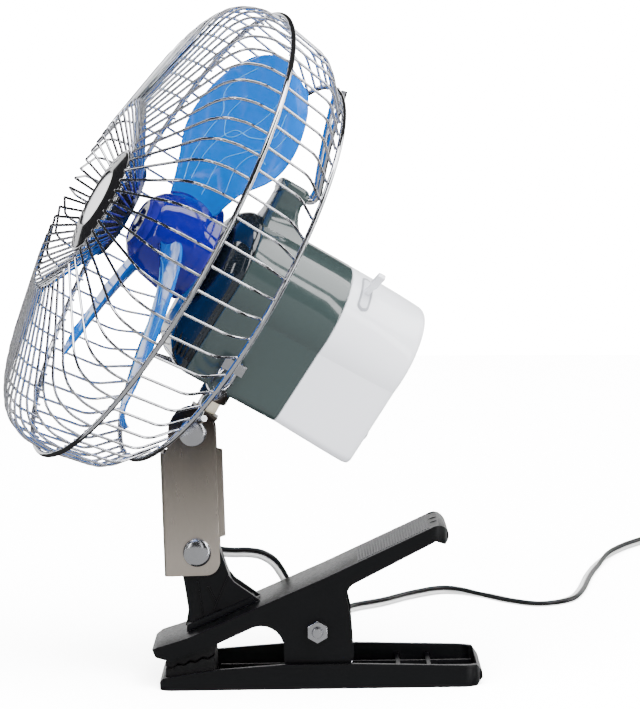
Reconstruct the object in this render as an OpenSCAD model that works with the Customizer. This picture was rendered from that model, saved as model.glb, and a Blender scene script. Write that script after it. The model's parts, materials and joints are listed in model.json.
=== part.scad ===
// Clip-on oscillating fan with a chrome wire guard, a folding bracket and a spring clip.
// Millimetres, +Z up. The origin lies on the floor under the clip's pivot bolt.
// The fan faces -X, the clip's handles point to +X, and Y runs across the clip.

/* [Clip] */
// Width of the upper jaw
jaw_w = 44; // [36:1:56]
// Wall of both jaws
jaw_wall = 2.4; // [1.8:0.1:3.2]
// Play between the upper jaw's cheeks and the tray's walls
cheek_gap = 0.5; // [0.3:0.1:1]
// Height of the pivot bolt's axis
pivot_z = 23.1; // [22.6:0.1:23.6]
// Slope of the handle, in degrees
handle_slope = 24.5; // [20:0.5:28]
// Length of the upper jaw's handle beyond the pivot, along X
handle_len = 53.5; // [46:0.5:62]
// Reach of the jaws in front of the pivot, along X
nose_len = 67; // [60:0.5:72]
// Length of the lower tray behind the pivot
tray_back = 66.5; // [60:0.5:76]
// Diameter of the pivot bolt
bolt_d = 4; // [3:0.5:5]
// Width of the pivot nut across its flats
nut_af = 8; // [7:0.5:9]
// Wire of the clip spring
spring_wire = 1.8; // [1.2:0.1:2.2]
// Middle diameter of the clip spring's turns
spring_d = 12; // [10.5:0.5:12.5]
// Length of the rubber pads along the jaws
pad_len = 20; // [14:1:22]

/* [Bracket] */
// Distance between the bracket's two rivets
arm_len = 49; // [40:0.5:60]
// Width of the bracket's flanges
flange_w = 22.8; // [20:0.1:26]
// Inside width of the channel
channel_in = 12; // [10:0.5:14]
// Sheet thickness
sheet = 1.2; // [1:0.1:1.6]
// Diameter of the rivets
rivet_d = 5; // [4:0.5:6]
// Diameter of the rivets' heads
rivet_head_d = 11.6; // [9:0.1:13]
// Diameter of the upper eye, which the tilt rivet holds
eye_d = 19.5; // [17:0.1:20]

/* [Head] */
// Tilt of the neck at rest, in degrees
tilt_rest = 30.87; // [10:0.01:40]
// Swivel of the head at rest, in degrees
swivel_rest = 13.86; // [-30:0.01:30]
// Height of the fan's axis above the tilt rivet, along the neck
fan_h = 63.9; // [60:0.1:70]
// Radius of the motor housing's round top
shell_r = 26.2; // [25:0.1:27]
// Half width of the housing at its foot
foot_half = 19.5; // [18:0.1:21]
// Depth of the housing below the fan's axis
shell_drop = 43; // [42:0.1:44]
// Wall of the housing
shell_wall = 1.8; // [1.4:0.1:2.2]
// Length of the green motor body
body_len = 43; // [40:0.5:48]
// Length of the front bell
bell_len = 10; // [9:0.5:13]
// Length of the white rear cover
cover_len = 36.5; // [30:0.5:42]
// Diameter of the neck pin
neck_d = 6; // [5:0.5:6.5]
// Outer diameter of the nylon neck sleeve
sleeve_d = 8.7; // [8:0.1:9.5]
// Outer diameter of the neck socket
socket_d = 12.3; // [11.5:0.1:14]

/* [Motor] */
// Diameter of the motor can
can_d = 36; // [30:0.5:38]
// Length of the motor can
can_len = 34; // [28:0.5:38]
// Diameter of the fan's shaft
shaft_d = 4; // [3:0.5:5]
// Running clearance on a radius
run_fit = 0.05; // [0.03:0.01:0.08]
// Radius of the crank wheel that swings the head
crank_r = 8; // [6.5:0.5:9]

/* [Fan] */
// Tip radius of the blades
blade_r = 85; // [76:0.5:86]
// Angle of the first blade about the fan's axis, in degrees
blade_phase = 93; // [0:1:119]
// Half length of a blade along the fan's axis
blade_half = 12; // [9:0.5:13]
// Blade thickness
blade_t = 1.6; // [1.2:0.1:2.2]
// Back radius of the hub
hub_r = 20.4; // [20:0.1:22]
// Length of the hub
hub_len = 28; // [24:0.5:32]

/* [Guard] */
// Radius of the main rim, to the middle of its wire
rim_r = 99.8; // [98:0.1:104]
// Number of wires in each half of the guard
wire_count = 60; // [40:2:60]
// Diameter of the guard's wires
wire_d = 1.2; // [1:0.1:1.6]
// Diameter of the thick rings
ring_d = 2.2; // [1.8:0.1:3]
// Depth of the rear half behind the rim
rear_depth = 32.8; // [28:0.1:36]
// Radius of the rear hoop
hoop_r = 85; // [80:0.5:88]
// Radius of the badge
badge_r = 23; // [20:0.5:26]

/* [Cord] */
// Width of the flat twin cord
cord_w = 4.4; // [4:0.1:4.8]
// Thickness of the flat twin cord
cord_t = 2.2; // [1.8:0.1:2.2]
// Turns in the coil
coil_turns = 7.5; // [5.5:1:7.5]
// Outer radius of the coil, to the middle of the cord
coil_r = 30; // [28:0.5:34]
// Diameter of the plug's body
plug_d = 21; // [19:0.5:23]
// Length of the plug's body
plug_len = 52; // [44:1:60]

/* [Hidden] */
$fn = 48;

// Places that several pieces share
lower_pin = [-48.5, 0, 53.4];
lean = atan2(1, arm_len);
tilt_pin = [lower_pin[0] - arm_len * sin(lean), 0, lower_pin[2] + arm_len * cos(lean)];
slide_gap = 0.1;
tray_w = jaw_w + 2 * (jaw_wall + cheek_gap);
bolt_len = tray_w - 2;

// Jaw outlines, seen from the side
slope_t = tan(handle_slope);
nose_z = 17.2;
bend_x = 3.3;
bend_z = 44.6;
tail_z = bend_z + (handle_len - bend_x - 4) * slope_t;
cheek_half = 13.6;
cheek_low = 8.5;
plate_t = 2.4;
jaw_low_end = -40.8;
tray_high = 10;
tray_end_z = 4.9;
tray_floor = 1.6;
lug_t = 3;
lug_y = jaw_w / 2 - jaw_wall - cheek_gap - lug_t;
lug_r = 6.4;
rib_t = 1.6;

module near_and_far() {
    children();
    mirror([0, 1, 0]) children();
}

module side_plate(y0, t) {
    translate([0, y0 + t, 0]) rotate([90, 0, 0]) linear_extrude(t) children();
}

module plan_round(x0, x1, w, r0, r1, z0, z1) {
    translate([0, 0, z0]) linear_extrude(z1 - z0) {
        translate([x0 + r0, -w / 2]) square([x1 - x0 - r0 - r1, w]);
        translate([x0, -w / 2 + r0]) square([x1 - x0, w - r0 - r1 > 0 ? w - 2 * r0 : 1]);
        for (s = [-1, 1]) {
            translate([x0 + r0, s * (w / 2 - r0)]) circle(r0);
            translate([x1 - r1, s * (w / 2 - r1)]) circle(r1);
        }
        translate([x1 - r1 - 1, -w / 2 + r1]) square([r1 + 1, w - 2 * r1]);
    }
}

function arc(cx, cy, r, a0, a1, n) = [for (i = [0:n]) let (a = a0 + (a1 - a0) * i / n)
    [cx + r * cos(a), cy + r * sin(a)]];

// Top line of the upper jaw, from its nose to its tail
function top_line() = [[-nose_len, nose_z - 1.5], [-nose_len + 2.5, nose_z], [-52.5, 20.8], [-23.6, 33.1],
    [bend_x, bend_z], [handle_len - 8, tail_z - 1.82]];

tail_tip = arc(handle_len - 4.5, tail_z - 5.1, 4.5, 114, -50, 8);

module jaw_side() {
    polygon(concat(top_line(), tail_tip,
        [[48.1, 58.7], [17.7, 43.4]], arc(18.6, 36.4, 6.8, 130, 180, 4),
        [[13.7, 27.1], [cheek_half + 1, 14]], arc(cheek_half - 4, cheek_low + 5, 5, 0, -90, 4),
        [[-cheek_half + 4, cheek_low]], arc(-cheek_half + 3, cheek_low + 3, 3, -90, -180, 3),
        [[-cheek_half, 18.7]], arc(-22.8, 16.2, 9.2, 16, 110, 6),
        [[jaw_low_end, 18.2], [-59.3, 11.6], [-nose_len + 1.5, 13]]));
}

module jaw_plate() {
    under = [for (p = top_line()) [p[0], p[1] - plate_t / cos(handle_slope)]];
    polygon(concat(top_line(), [[handle_len + 1, tail_z + 1], [handle_len + 1, tail_z - 5], [handle_len - 4, tail_z - 4.5]],
        [under[5], under[4], under[3], under[2], under[1], under[0]]));
}

module upper_jaw() {
    color([0.14, 0.14, 0.15])
    difference() {
        intersection() {
            union() {
                near_and_far() side_plate(jaw_w / 2 - jaw_wall, jaw_wall) jaw_side();
                side_plate(-jaw_w / 2, jaw_w) intersection() {
                    jaw_side();
                    jaw_plate();
                }
                side_plate(-jaw_w / 2, jaw_w) intersection() {
                    jaw_side();
                    translate([handle_len - 3.5, 40]) square([6, 40]);
                }
                side_plate(-jaw_w / 2, jaw_w) intersection() {
                    jaw_side();
                    translate([-nose_len, 0]) square([5, 40]);
                }
                for (y = [-6, 6 - rib_t]) side_plate(y, rib_t) intersection() {
                    jaw_side();
                    polygon([[-40, 10], [-20, 26], [20, 44], [handle_len - 4, 60], [handle_len - 4, 72], [-40, 40]]);
                }
            }
            plan_round(-nose_len, handle_len, jaw_w, 5, 8, 0, 90);
        }
        translate([0, 0, pivot_z]) rotate([90, 0, 0]) cylinder(h = jaw_w + 2, d = bolt_d + 2 * run_fit, center = true);
        translate([0, 0, pivot_z]) rotate([90, 0, 0]) cylinder(h = 14, r = spring_d / 2 + spring_wire, center = true);
    }
}

// Lower jaw: an open tray with lugs for the bolt
module tray_side() {
    polygon(concat([[-63.7, 0], [tray_back - 2.5, 0], [tray_back, 3], [tray_back - 0.2, 5.4]],
        [[tray_back - 2.5, tray_high - 1.4], [16, tray_high], [-14, tray_high], [-41, 8.2], [-51.7, 6.8],
        [-62.4, tray_end_z], [-63.9, 3]]));
}

module lower_jaw() {
    color([0.13, 0.13, 0.14])
    difference() {
        union() {
            difference() {
                intersection() {
                    side_plate(-tray_w / 2, tray_w) tray_side();
                    plan_round(-64, tray_back, tray_w, 5, 9, 0, 30);
                }
                plan_round(-64 + jaw_wall, tray_back - jaw_wall, tray_w - 2 * jaw_wall, 3, 7, tray_floor, 40);
            }
            near_and_far() side_plate(lug_y, lug_t) {
                polygon([[-11, 1], [11, 1], [lug_r, pivot_z], [-lug_r, pivot_z]]);
                translate([0, pivot_z]) circle(lug_r);
            }
            for (x = [32, 44.5]) translate([x, -tray_w / 2 + 1, 1]) cube([rib_t, tray_w - 2, 4.6]);
            translate([11, 5, 1]) cube([52, rib_t, 4.6]);
            translate([11, -5 - rib_t, 1]) cube([52, rib_t, 4.6]);
            translate([-40, 5, 1]) cube([30, rib_t, 4]);
            translate([-40, -5 - rib_t, 1]) cube([30, rib_t, 4]);
        }
        translate([0, 0, pivot_z]) rotate([90, 0, 0]) cylinder(h = jaw_w, d = bolt_d + 2 * run_fit, center = true);
    }
}

pad_w = jaw_w - 2 * jaw_wall - 1;
pad_x = -61.4;
tooth = 2.2;

// Serrated rubber pads: the bite line runs between them
function bite(dx, rise, up) = [for (i = [0:8]) [pad_x + dx + i * pad_len / 8 * 0.98,
    8.4 + i * 0.62 + rise + (i % 2 == 0 ? 0 : up)]];

module lower_pad() {
    color([0.07, 0.07, 0.08])
    side_plate(-pad_w / 2, pad_w)
        polygon(concat(bite(0, -0.3, -1), [[pad_x + pad_len, tray_floor], [pad_x, tray_floor]]));
}

module upper_pad() {
    color([0.07, 0.07, 0.08])
    side_plate(-pad_w / 2, pad_w)
        polygon(concat(bite(0, 0.6, -1), [[jaw_low_end, 18.5], [-43, 21.9], [-52.6, 17.9], [-59, 16], [-61.4, 15.2]]));
}

module pivot_bolt() {
    color([0.78, 0.79, 0.8])
    translate([0, 0, pivot_z]) rotate([90, 0, 0]) {
        translate([0, 0, -jaw_w / 2 - 0.1]) cylinder(h = bolt_len + 1.5, d = bolt_d);
        translate([0, 0, -jaw_w / 2 - 2.4]) cylinder(h = 2.3, d = nut_af);
    }
}

module pivot_nut() {
    color([0.8, 0.81, 0.82])
    translate([0, -jaw_w / 2 - 0.1, pivot_z]) rotate([90, 0, 0]) difference() {
        rotate([0, 0, 30]) cylinder(h = 3.2, d = nut_af / cos(30), $fn = 6);
        translate([0, 0, -1]) cylinder(h = 6, d = bolt_d + 0.02);
    }
}

// A round wire swept along points; the frame turns as little as it can
function unit(v) = v / norm(v);
function tangent(p, i) = i == 0 ? unit(p[1] - p[0])
    : i == len(p) - 1 ? unit(p[i] - p[i - 1]) : unit(unit(p[i + 1] - p[i]) + unit(p[i] - p[i - 1]));
function across(t, hint) = unit(cross(hint, t));

module sweep(p, w, h, sides, hint = [0, 0, 1]) {
    n = len(p);
    rings = [for (i = [0:n - 1]) let (t = tangent(p, i), u = across(t, hint), v = cross(t, u))
        for (k = [0:sides - 1]) let (a = 360 * k / sides)
            p[i] + u * (w / 2 * cos(a)) + v * (h / 2 * sin(a))];
    walls = [for (i = [0:n - 2]) for (k = [0:sides - 1]) let (a = i * sides + k, b = i * sides + (k + 1) % sides)
        each [[a, a + sides, b], [b, a + sides, b + sides]]];
    first = [for (k = [1:sides - 2]) [0, k, k + 1]];
    last = [for (k = [1:sides - 2]) let (z = (n - 1) * sides) [z, z + k + 1, z + k]];
    polyhedron(points = rings, faces = concat(walls, first, last), convexity = 6);
}

// Clip spring: turns about the bolt, with one leg down in the tray
spring_turns = 4.5;
spring_step = spring_wire + 0.5;
function turn_points(n) = [for (i = [0:8 * n]) let (a = -60 - 45 * i)
    [spring_d / 2 * cos(a), -spring_step * n / 2 + spring_step * i / 8, pivot_z + spring_d / 2 * sin(a)]];
spring_path = concat([[13.5, -spring_step * spring_turns / 2, tray_floor + spring_wire / 2 + 4.4]],
    turn_points(spring_turns));

module clip_spring() {
    color([0.75, 0.76, 0.78])
    sweep(spring_path, spring_wire, spring_wire, 6, [0, 1, 0]);
}

leg_y = 8.4;
leg_top = [21, 48.6];
module spring_leg() {
    color([0.75, 0.76, 0.78])
    sweep([[2.5, leg_y, pivot_z + spring_d / 2 + 1.6], [9, leg_y, 36], [16, leg_y, 43], [leg_top[0], leg_y, leg_top[1]]],
        spring_wire, spring_wire, 6, [0, 1, 0]);
}

// Post on the upper jaw, which the bracket's lower rivet goes through
post_t = channel_in - 2 * slide_gap;
post_w = 17.7;
post_lean = 18.5;
module clip_post() {
    color([0.12, 0.12, 0.13])
    difference() {
        union() {
            side_plate(-post_t / 2, post_t) {
                translate([lower_pin[0], lower_pin[2]]) circle(post_w / 2);
                polygon([[lower_pin[0] - 8.4, lower_pin[2] + 2.8], [lower_pin[0] + 8.4, lower_pin[2] + 2.8],
                    [-31.2, 30.6], [-51.4, 22.1], [-53.9, 40]]);
            }
            near_and_far() side_plate(5, rib_t + 1)
                polygon([[-33, 30], [-23.3, 33.6], [-33.6, 41], [-36, 44], [-42, 30]]);
            side_plate(-1.2, 2.4) polygon([[-53.9, 22.4], [-51, 38], [-45, 30], [-47, 24]]);
            side_plate(-9, 18) polygon([[-53.2, 21.1], [-25, 33.1], [-26.4, 35], [-53, 24]]);
        }
        translate(lower_pin) rotate([90, 0, 0]) cylinder(h = 30, d = rivet_d + 2 * run_fit, center = true);
        side_plate(-30, 60) polygon([[-80, 9.6], [-67, nose_z - 1.5], [-64.5, nose_z], [-52.5, 20.8], [-23.6, 33.1],
            [bend_x, bend_z], [bend_x, 0]]);
    }
}

// Folded bracket: two flanges joined by a web at the front
flange_left = 13.6;
bend_r = 2.2;
corner_r = 5.7;
lip_out = 2.2;
lip_from = 4;
lip_to = 41;
ear_cut = 8;
foot_drop = 9.6;

module at_lean() {
    translate(lower_pin) rotate([0, -lean, 0]) children();
}

module flange_outline(lip) {
    right = flange_w - flange_left;
    polygon(concat([[-flange_left, -foot_drop]], arc(right - corner_r, -foot_drop + corner_r, corner_r, -90, 0, 6),
        [[right, lip_from], [right + lip, lip_from + 0.6], [right + lip, lip_to - 0.6], [right, lip_to], [right, arm_len]], arc(right - eye_d / 2, arm_len, eye_d / 2, 0, 160, 14),
        [[-flange_left + 2.9, arm_len - ear_cut + 1.6], [-flange_left + 1.8, arm_len - ear_cut], [-flange_left, arm_len - ear_cut]]));
}

channel_out = channel_in + 2 * sheet;
gland_z = 68.5;
gland_x = -47;
gland_d = 7;

module bracket() {
    color([0.6, 0.55, 0.5])
    difference() {
        union() {
            at_lean() side_plate(-channel_out / 2, sheet) flange_outline(0);
            at_lean() side_plate(channel_out / 2 - sheet, sheet) flange_outline(lip_out);
            at_lean() translate([-flange_left, 0, 0]) translate([0, 0, -foot_drop]) linear_extrude(arm_len - ear_cut + foot_drop)
                difference() {
                    translate([0, -channel_out / 2]) square([sheet + 3, channel_out]);
                    translate([sheet, -channel_in / 2]) square([9, channel_in]);
                }
        }
        translate(lower_pin) rotate([90, 0, 0]) cylinder(h = 30, d = rivet_d + 0.02, center = true);
        translate(tilt_pin) rotate([90, 0, 0]) cylinder(h = 30, d = rivet_d + 2 * run_fit, center = true);
        translate([gland_x, channel_out / 2, gland_z]) rotate([90, 0, 0]) cylinder(h = 6, d = gland_d - 1.6, center = true);
    }
}

module rivet_pair_heads(len) {
    for (s = [0, 1]) mirror([0, s, 0]) translate([0, -len / 2, 0]) rotate([90, 0, 0]) {
        rotate_extrude() polygon(concat([[0, 0], [rivet_head_d / 2, 0]],
            [for (i = [0:6]) let (a = 90 * i / 6) [rivet_head_d / 2 * cos(a), 0.5 + 2.1 * sin(a)]]));
    }
}

module post_rivet() {
    color([0.82, 0.82, 0.83])
    translate(lower_pin) {
        rotate([90, 0, 0]) cylinder(h = channel_out, d = rivet_d, center = true);
        rivet_pair_heads(channel_out);
    }
}

module tilt_rivet() {
    color([0.82, 0.82, 0.83])
    translate(tilt_pin) {
        rotate([90, 0, 0]) cylinder(h = channel_out + 2 * slide_gap, d = rivet_d, center = true);
        rivet_pair_heads(channel_out + 2 * slide_gap);
    }
}

module cord_gland() {
    color([0.1, 0.1, 0.11])
    translate([gland_x, channel_out / 2, gland_z]) rotate([-90, 0, 0]) difference() {
        union() {
            cylinder(h = 2, d = gland_d);
            translate([0, 0, -sheet]) cylinder(h = sheet, d = gland_d - 1.62);
        }
        translate([-cord_w / 2 - 0.1, -cord_t / 2 - 0.1, -3]) cube([cord_w + 0.2, cord_t + 0.2, 4.7]);
    }
}

// Neck: an eye between the bracket's ears with a pin that the head turns on
module at_neck() {
    translate(tilt_pin) rotate([0, tilt_rest, 0]) children();
}
module at_head() {
    at_neck() rotate([0, 0, swivel_rest]) children();
}

knuckle_t = channel_in - 2 * slide_gap;
knuckle_r = 7.4;
sleeve_low = 10;
plate_half = 6;
socket_low = 15;
floor_h = fan_h - shell_drop;
pin_top = floor_h + 9;

module tilt_knuckle() {
    color([0.4, 0.37, 0.34])
    difference() {
        union() {
            at_neck() rotate([90, 0, 0]) cylinder(h = knuckle_t, r = knuckle_r, center = true);
            at_neck() cylinder(h = sleeve_low - 1.2, d = knuckle_t);
            at_neck() cylinder(h = pin_top, d = neck_d);
        }
        translate(tilt_pin) rotate([90, 0, 0]) cylinder(h = 30, d = rivet_d + 0.02, center = true);
    }
}

module neck_sleeve() {
    color([0.9, 0.85, 0.72])
    at_neck() difference() {
        translate([0, 0, sleeve_low]) cylinder(h = floor_h + shell_wall + 1.2 - sleeve_low, d = sleeve_d);
        cylinder(h = 60, d = neck_d + 0.04);
    }
}

module stop_plate() {
    color([0.2, 0.18, 0.16])
    at_neck() translate([0, 0, sleeve_low - 1.2]) linear_extrude(1.2) difference() {
        translate([-plate_half, -knuckle_t / 2]) square([2 * plate_half, knuckle_t]);
        circle(d = neck_d + 0.04);
    }
}

arm_z = floor_h + shell_wall + 1.4;
module swing_arm() {
    color([0.7, 0.7, 0.72])
    at_neck() translate([0, 0, arm_z]) linear_extrude(1.5) difference() {
        union() {
            circle(5.5);
            translate([0, -2.5]) square([7, 5]);
            translate([7, 0]) circle(2.5);
        }
        circle(d = neck_d + 0.04);
    }
}

module neck_nut() {
    color([0.75, 0.76, 0.78])
    at_neck() translate([0, 0, arm_z + 1.7]) difference() {
        cylinder(h = pin_top - arm_z - 2.2, d = 10 / cos(30), $fn = 6);
        translate([0, 0, -1]) cylinder(h = 20, d = neck_d + 0.04);
    }
}

// Housing section: a round top on sides that draw in to the foot.
// x is the place along the fan's axis and inset draws the whole section in.
module at_fan() {
    at_head() translate([0, 0, fan_h]) children();
}
module along_fan() {
    at_fan() rotate([90, 0, 90]) children();
}
function section(x, inset, foot, lift) = let (r = shell_r - inset, f = foot - inset * 0.7,
        b = -shell_drop + inset + lift, c = 4)
    [for (p = concat(arc(0, 0, r, -22, 202, 22), arc(-f + c, b + c, c, 184, 270, 4), arc(f - c, b + c, c, 270, 356, 4)))
        [x, p[0], p[1]]];

module loft(rings) {
    n = len(rings[0]);
    m = len(rings);
    walls = [for (i = [0:m - 2]) for (k = [0:n - 1]) let (a = i * n + k, b = i * n + (k + 1) % n)
        each [[a, a + n, b], [b, a + n, b + n]]];
    first = [[for (k = [0:n - 1]) k]];
    last = [[for (k = [n - 1:-1:0]) (m - 1) * n + k]];
    polyhedron(points = [for (r = rings) each r], faces = concat(walls, first, last), convexity = 8);
}

body_x0 = -20.6;
body_x1 = body_x0 + body_len;
bell_x0 = body_x0 - 0.4 - bell_len;
cover_x1 = body_x1 + cover_len;
can_x0 = -17;
can_x1 = can_x0 + can_len;
web_t = 2;
post_x = [0, 18];
post_y = 13;
boss_d = 6;
crank_x = 9;
plate_z = floor_h + 13;
hull_play = 0.02;

module motor_body() {
    color([0.36, 0.42, 0.4])
    difference() {
        union() {
            difference() {
                at_fan() loft([section(body_x0, 0.3, foot_half, 0), section(body_x0 + 0.8, 0, foot_half, 0),
                    section(body_x1, 0, foot_half, 0)]);
                at_fan() loft([section(body_x0 - 1, shell_wall, foot_half, 0), section(body_x1 + 1, shell_wall, foot_half, 0)]);
            }
            for (x = [can_x0 + 2, can_x1 - 6]) along_fan() translate([0, 0, x]) linear_extrude(web_t) difference() {
                circle(shell_r - shell_wall / 2);
                circle(d = can_d + 0.04);
            }
            at_head() translate([0, 0, socket_low]) cylinder(h = floor_h + shell_wall - socket_low, d = socket_d);
            for (x = post_x, s = [-1, 1]) at_head() translate([x, s * post_y, floor_h + 1])
                cylinder(h = plate_z - floor_h - 1, d = boss_d);
        }
        at_head() cylinder(h = 60, d = sleeve_d + 2 * run_fit);
        for (x = post_x, s = [-1, 1]) at_head() translate([x, s * post_y, floor_h + 5]) cylinder(h = 10, d = 2.5);
    }
}

vent_count = 5;
module front_bell() {
    color([0.34, 0.4, 0.38])
    difference() {
        at_fan() loft([section(bell_x0, 10, foot_half, 1.5), section(bell_x0 + 1.2, 6.6, foot_half, 1.6),
            section(bell_x0 + 3, 3.8, foot_half, 1.4), section(bell_x0 + 5.4, 1.7, foot_half, 0.9),
            section(bell_x0 + 8, 0.4, foot_half, 0.4), section(body_x0 - 0.02, 0.3, foot_half, 0.2)]);
        at_fan() loft([section(bell_x0 + 2, 10.4, foot_half, 1.5), section(bell_x0 + 4.4, 5.6, foot_half, 1.4),
            section(bell_x0 + 7, 2.8, foot_half, 0.8), section(body_x0 + 1, shell_wall + 0.3, foot_half, 0.2)]);
        along_fan() translate([0, 0, bell_x0 - 1]) cylinder(h = 6, d = 12);
        for (s = [-1, 1], i = [0:vent_count - 1]) at_fan()
            translate([bell_x0 + 2.6 + 1.7 * i, s * (foot_half + 0.5), -34])
                rotate([s * 6, 0, 0]) cube([0.9, 9, 6], center = true);
    }
}

slot_x = body_x1 + 7;
slot_w = 3.6;
lever_a = 128;
lever_back = 16;
lever_fore = 16;
module cover_slot() {
    for (i = [0:7]) let (a = lever_a - lever_fore - 4 + (lever_back + lever_fore + 8) * i / 7)
        along_fan() translate([0, 0, slot_x - slot_w / 2]) rotate([0, 0, a]) translate([shell_r - 5, -2.6, 0]) cube([8, 5.2, slot_w]);
}

module rear_cover() {
    color([0.93, 0.93, 0.94])
    difference() {
        at_fan() loft([section(body_x1 + 0.02, 0.1, foot_half, 0), section(body_x1 + cover_len * 0.6, 0.4, foot_half, -1.4),
            section(cover_x1 - 1.6, 1, foot_half, -2.4), section(cover_x1 - 0.4, 1.5, foot_half, -2.7),
            section(cover_x1, 2.2, foot_half, -3)]);
        at_fan() loft([section(body_x1 - 1, shell_wall, foot_half, 0), section(cover_x1 - shell_wall, shell_wall + 1, foot_half, -2.4)]);
        cover_slot();
        for (s = [-1, 1]) along_fan() translate([s * 15, -30, cover_x1 - 4]) cylinder(h = 6, d = 3.4);
    }
}

// Lever of the speed switch: it turns about the fan's axis in its slot
switch_x = body_x1 + 3;
module speed_lever() {
    color([0.95, 0.95, 0.95])
    along_fan() {
        translate([0, 0, slot_x - 1.2]) rotate([0, 0, lever_a]) {
            translate([4, -1.2, 0]) cube([shell_r + 2, 2.4, 2.4]);
            translate([shell_r + 4, -1.2, -1]) cube([8, 2.4, 4.4]);
        }
        difference() {
            translate([0, 0, switch_x]) cylinder(h = slot_x + 2 - switch_x, r = 7);
            translate([0, 0, switch_x - 1]) cylinder(h = 20, d = spindle_d + 2 * run_fit);
        }
    }
}

module gear_plate() {
    color([0.75, 0.76, 0.78])
    at_head() translate([0, 0, plate_z]) linear_extrude(1.5) difference() {
        translate([post_x[0] - 4, -post_y - 3]) square([post_x[1] - post_x[0] + 8, 2 * post_y + 6]);
        translate([crank_x, 0]) circle(d = 5 + 2 * run_fit);
        for (x = post_x, s = [-1, 1]) translate([x, s * post_y]) circle(d = 3);
    }
}

module gear_screws() {
    color([0.7, 0.7, 0.72])
    for (x = post_x, s = [-1, 1]) at_head() translate([x, s * post_y, 0]) {
        translate([0, 0, floor_h + 6]) cylinder(h = plate_z + 1.5 - floor_h - 6, d = 2.46);
        translate([0, 0, plate_z + 1.5]) cylinder(h = 1.5, d = 5);
    }
}

module crank_wheel() {
    color([0.88, 0.86, 0.8])
    at_head() translate([crank_x, 0, 0]) {
        translate([0, 0, plate_z - 3.3]) cylinder(h = 3, r = crank_r);
        translate([0, 0, plate_z - 3.3]) cylinder(h = 3.3 + 1.5 + 0.2 + 1, d = 5);
        translate([0, 0, plate_z + 1.7]) cylinder(h = 1, d = 7);
        translate([crank_r - 2.2, 0, plate_z - 4.8]) cylinder(h = 1.6, d = 2.4);
    }
}

module motor_can() {
    color([0.62, 0.63, 0.65])
    along_fan() difference() {
        union() {
            translate([0, 0, can_x0]) cylinder(h = can_len, d = can_d);
            translate([0, 0, can_x0 - 3]) cylinder(h = 3.1, d = 11);
        }
        translate([0, 0, can_x0 + 1.2]) cylinder(h = can_len, d = can_d - 2.4);
        translate([0, 0, can_x0 - 4]) cylinder(h = 9, d = 8.04);
    }
}

module motor_endcap() {
    color([0.85, 0.84, 0.8])
    along_fan() difference() {
        union() {
            translate([0, 0, can_x1 - 3]) cylinder(h = 3, d = can_d - 2.44);
            translate([0, 0, can_x1]) cylinder(h = 2, d = can_d - 0.5);
            translate([0, 0, can_x1]) cylinder(h = 4, d = 11);
        }
        translate([0, 0, can_x1 - 4]) cylinder(h = 20, d = 8.04);
    }
}

spindle_d = 8;
module switch_spindle() {
    color([0.85, 0.84, 0.8])
    along_fan() difference() {
        translate([0, 0, can_x1 + 4.04]) cylinder(h = slot_x - can_x1, d = spindle_d);
        translate([0, 0, can_x1]) cylinder(h = 8, d = shaft_d + 1);
    }
}

module motor_bearings() {
    color([0.72, 0.55, 0.3])
    along_fan() for (x = [can_x0 - 3, can_x1 - 1]) translate([0, 0, x]) difference() {
        cylinder(h = 5, d = 8);
        translate([0, 0, -1]) cylinder(h = 8, d = shaft_d + 2 * run_fit);
    }
}

rotor_d = can_d - 11;
module field_magnets() {
    color([0.2, 0.2, 0.22])
    along_fan() translate([0, 0, can_x0 + 5]) linear_extrude(can_len - 14) for (s = [0, 180]) rotate([0, 0, s])
        intersection() {
            difference() {
                circle(d = can_d - 2.44);
                circle(d = rotor_d + 1.2);
            }
            polygon([[0, 0], [40, 32], [40, -32]]);
        }
}

module brushes() {
    color([0.25, 0.24, 0.23])
    along_fan() for (s = [0, 180]) rotate([0, 0, s]) translate([4.2, -2, can_x1 - 6]) cube([6, 4, 2.9]);
}

module fan_shaft() {
    color([0.8, 0.8, 0.82])
    along_fan() translate([0, 0, shaft_front]) cylinder(h = can_x1 + 3 - shaft_front, d = shaft_d);
}

module armature() {
    color([0.7, 0.45, 0.25])
    along_fan() difference() {
        union() {
            translate([0, 0, can_x0 + 6]) linear_extrude(can_len - 17) for (a = [0:72:359]) rotate([0, 0, a]) {
                translate([0, -2.5]) square([rotor_d / 2 - 1, 5]);
                intersection() {
                    difference() {
                        circle(d = rotor_d);
                        circle(d = rotor_d - 4);
                    }
                    polygon([[0, 0], [20, 9], [20, -9]]);
                }
            }
            translate([0, 0, can_x1 - 10]) cylinder(h = 6.5, d = 8);
        }
        translate([0, 0, -60]) cylinder(h = 120, d = shaft_d + 0.02);
    }
}

// Fan
hub_back = bell_x0 - 4;
hub_front = hub_back - hub_len;
shaft_front = hub_front - 0.8;
nose_r = 9.5;
function hub_skin(out) = [[hub_r + out, 0], [hub_r + out, -7], [hub_r - 2.4 + out, -hub_len + 10],
    [hub_r - 5.4 + out, -hub_len + 4], [hub_r - 8.4 + out, -hub_len + 1.2 - out], [nose_r, -hub_len - out]];
module hub() {
    color([0.1, 0.16, 0.62])
    along_fan() translate([0, 0, hub_back]) difference() {
        union() {
            rotate_extrude() polygon([[hub_r - 1.6, 0], each hub_skin(0), [5, -hub_len], [5, -hub_len + 4],
                [0, -hub_len + 4], [0, -hub_len + 6], [hub_r - 8.5, -hub_len + 6], [hub_r - 4.4, -hub_len + 10], [hub_r - 1.6, -7]]);
            translate([0, 0, -hub_len + 5]) cylinder(h = hub_len - 8, d = 10);
        }
        translate([0, 0, -hub_len - 1]) cylinder(h = hub_len + 2, d = shaft_d + 0.02);
    }
}

module hub_nut() {
    color([0.75, 0.76, 0.78])
    along_fan() translate([0, 0, hub_front + 0.9]) difference() {
        cylinder(h = 3, d = 8, $fn = 6);
        translate([0, 0, -1]) cylinder(h = 6, d = shaft_d + 0.02);
    }
}

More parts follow.
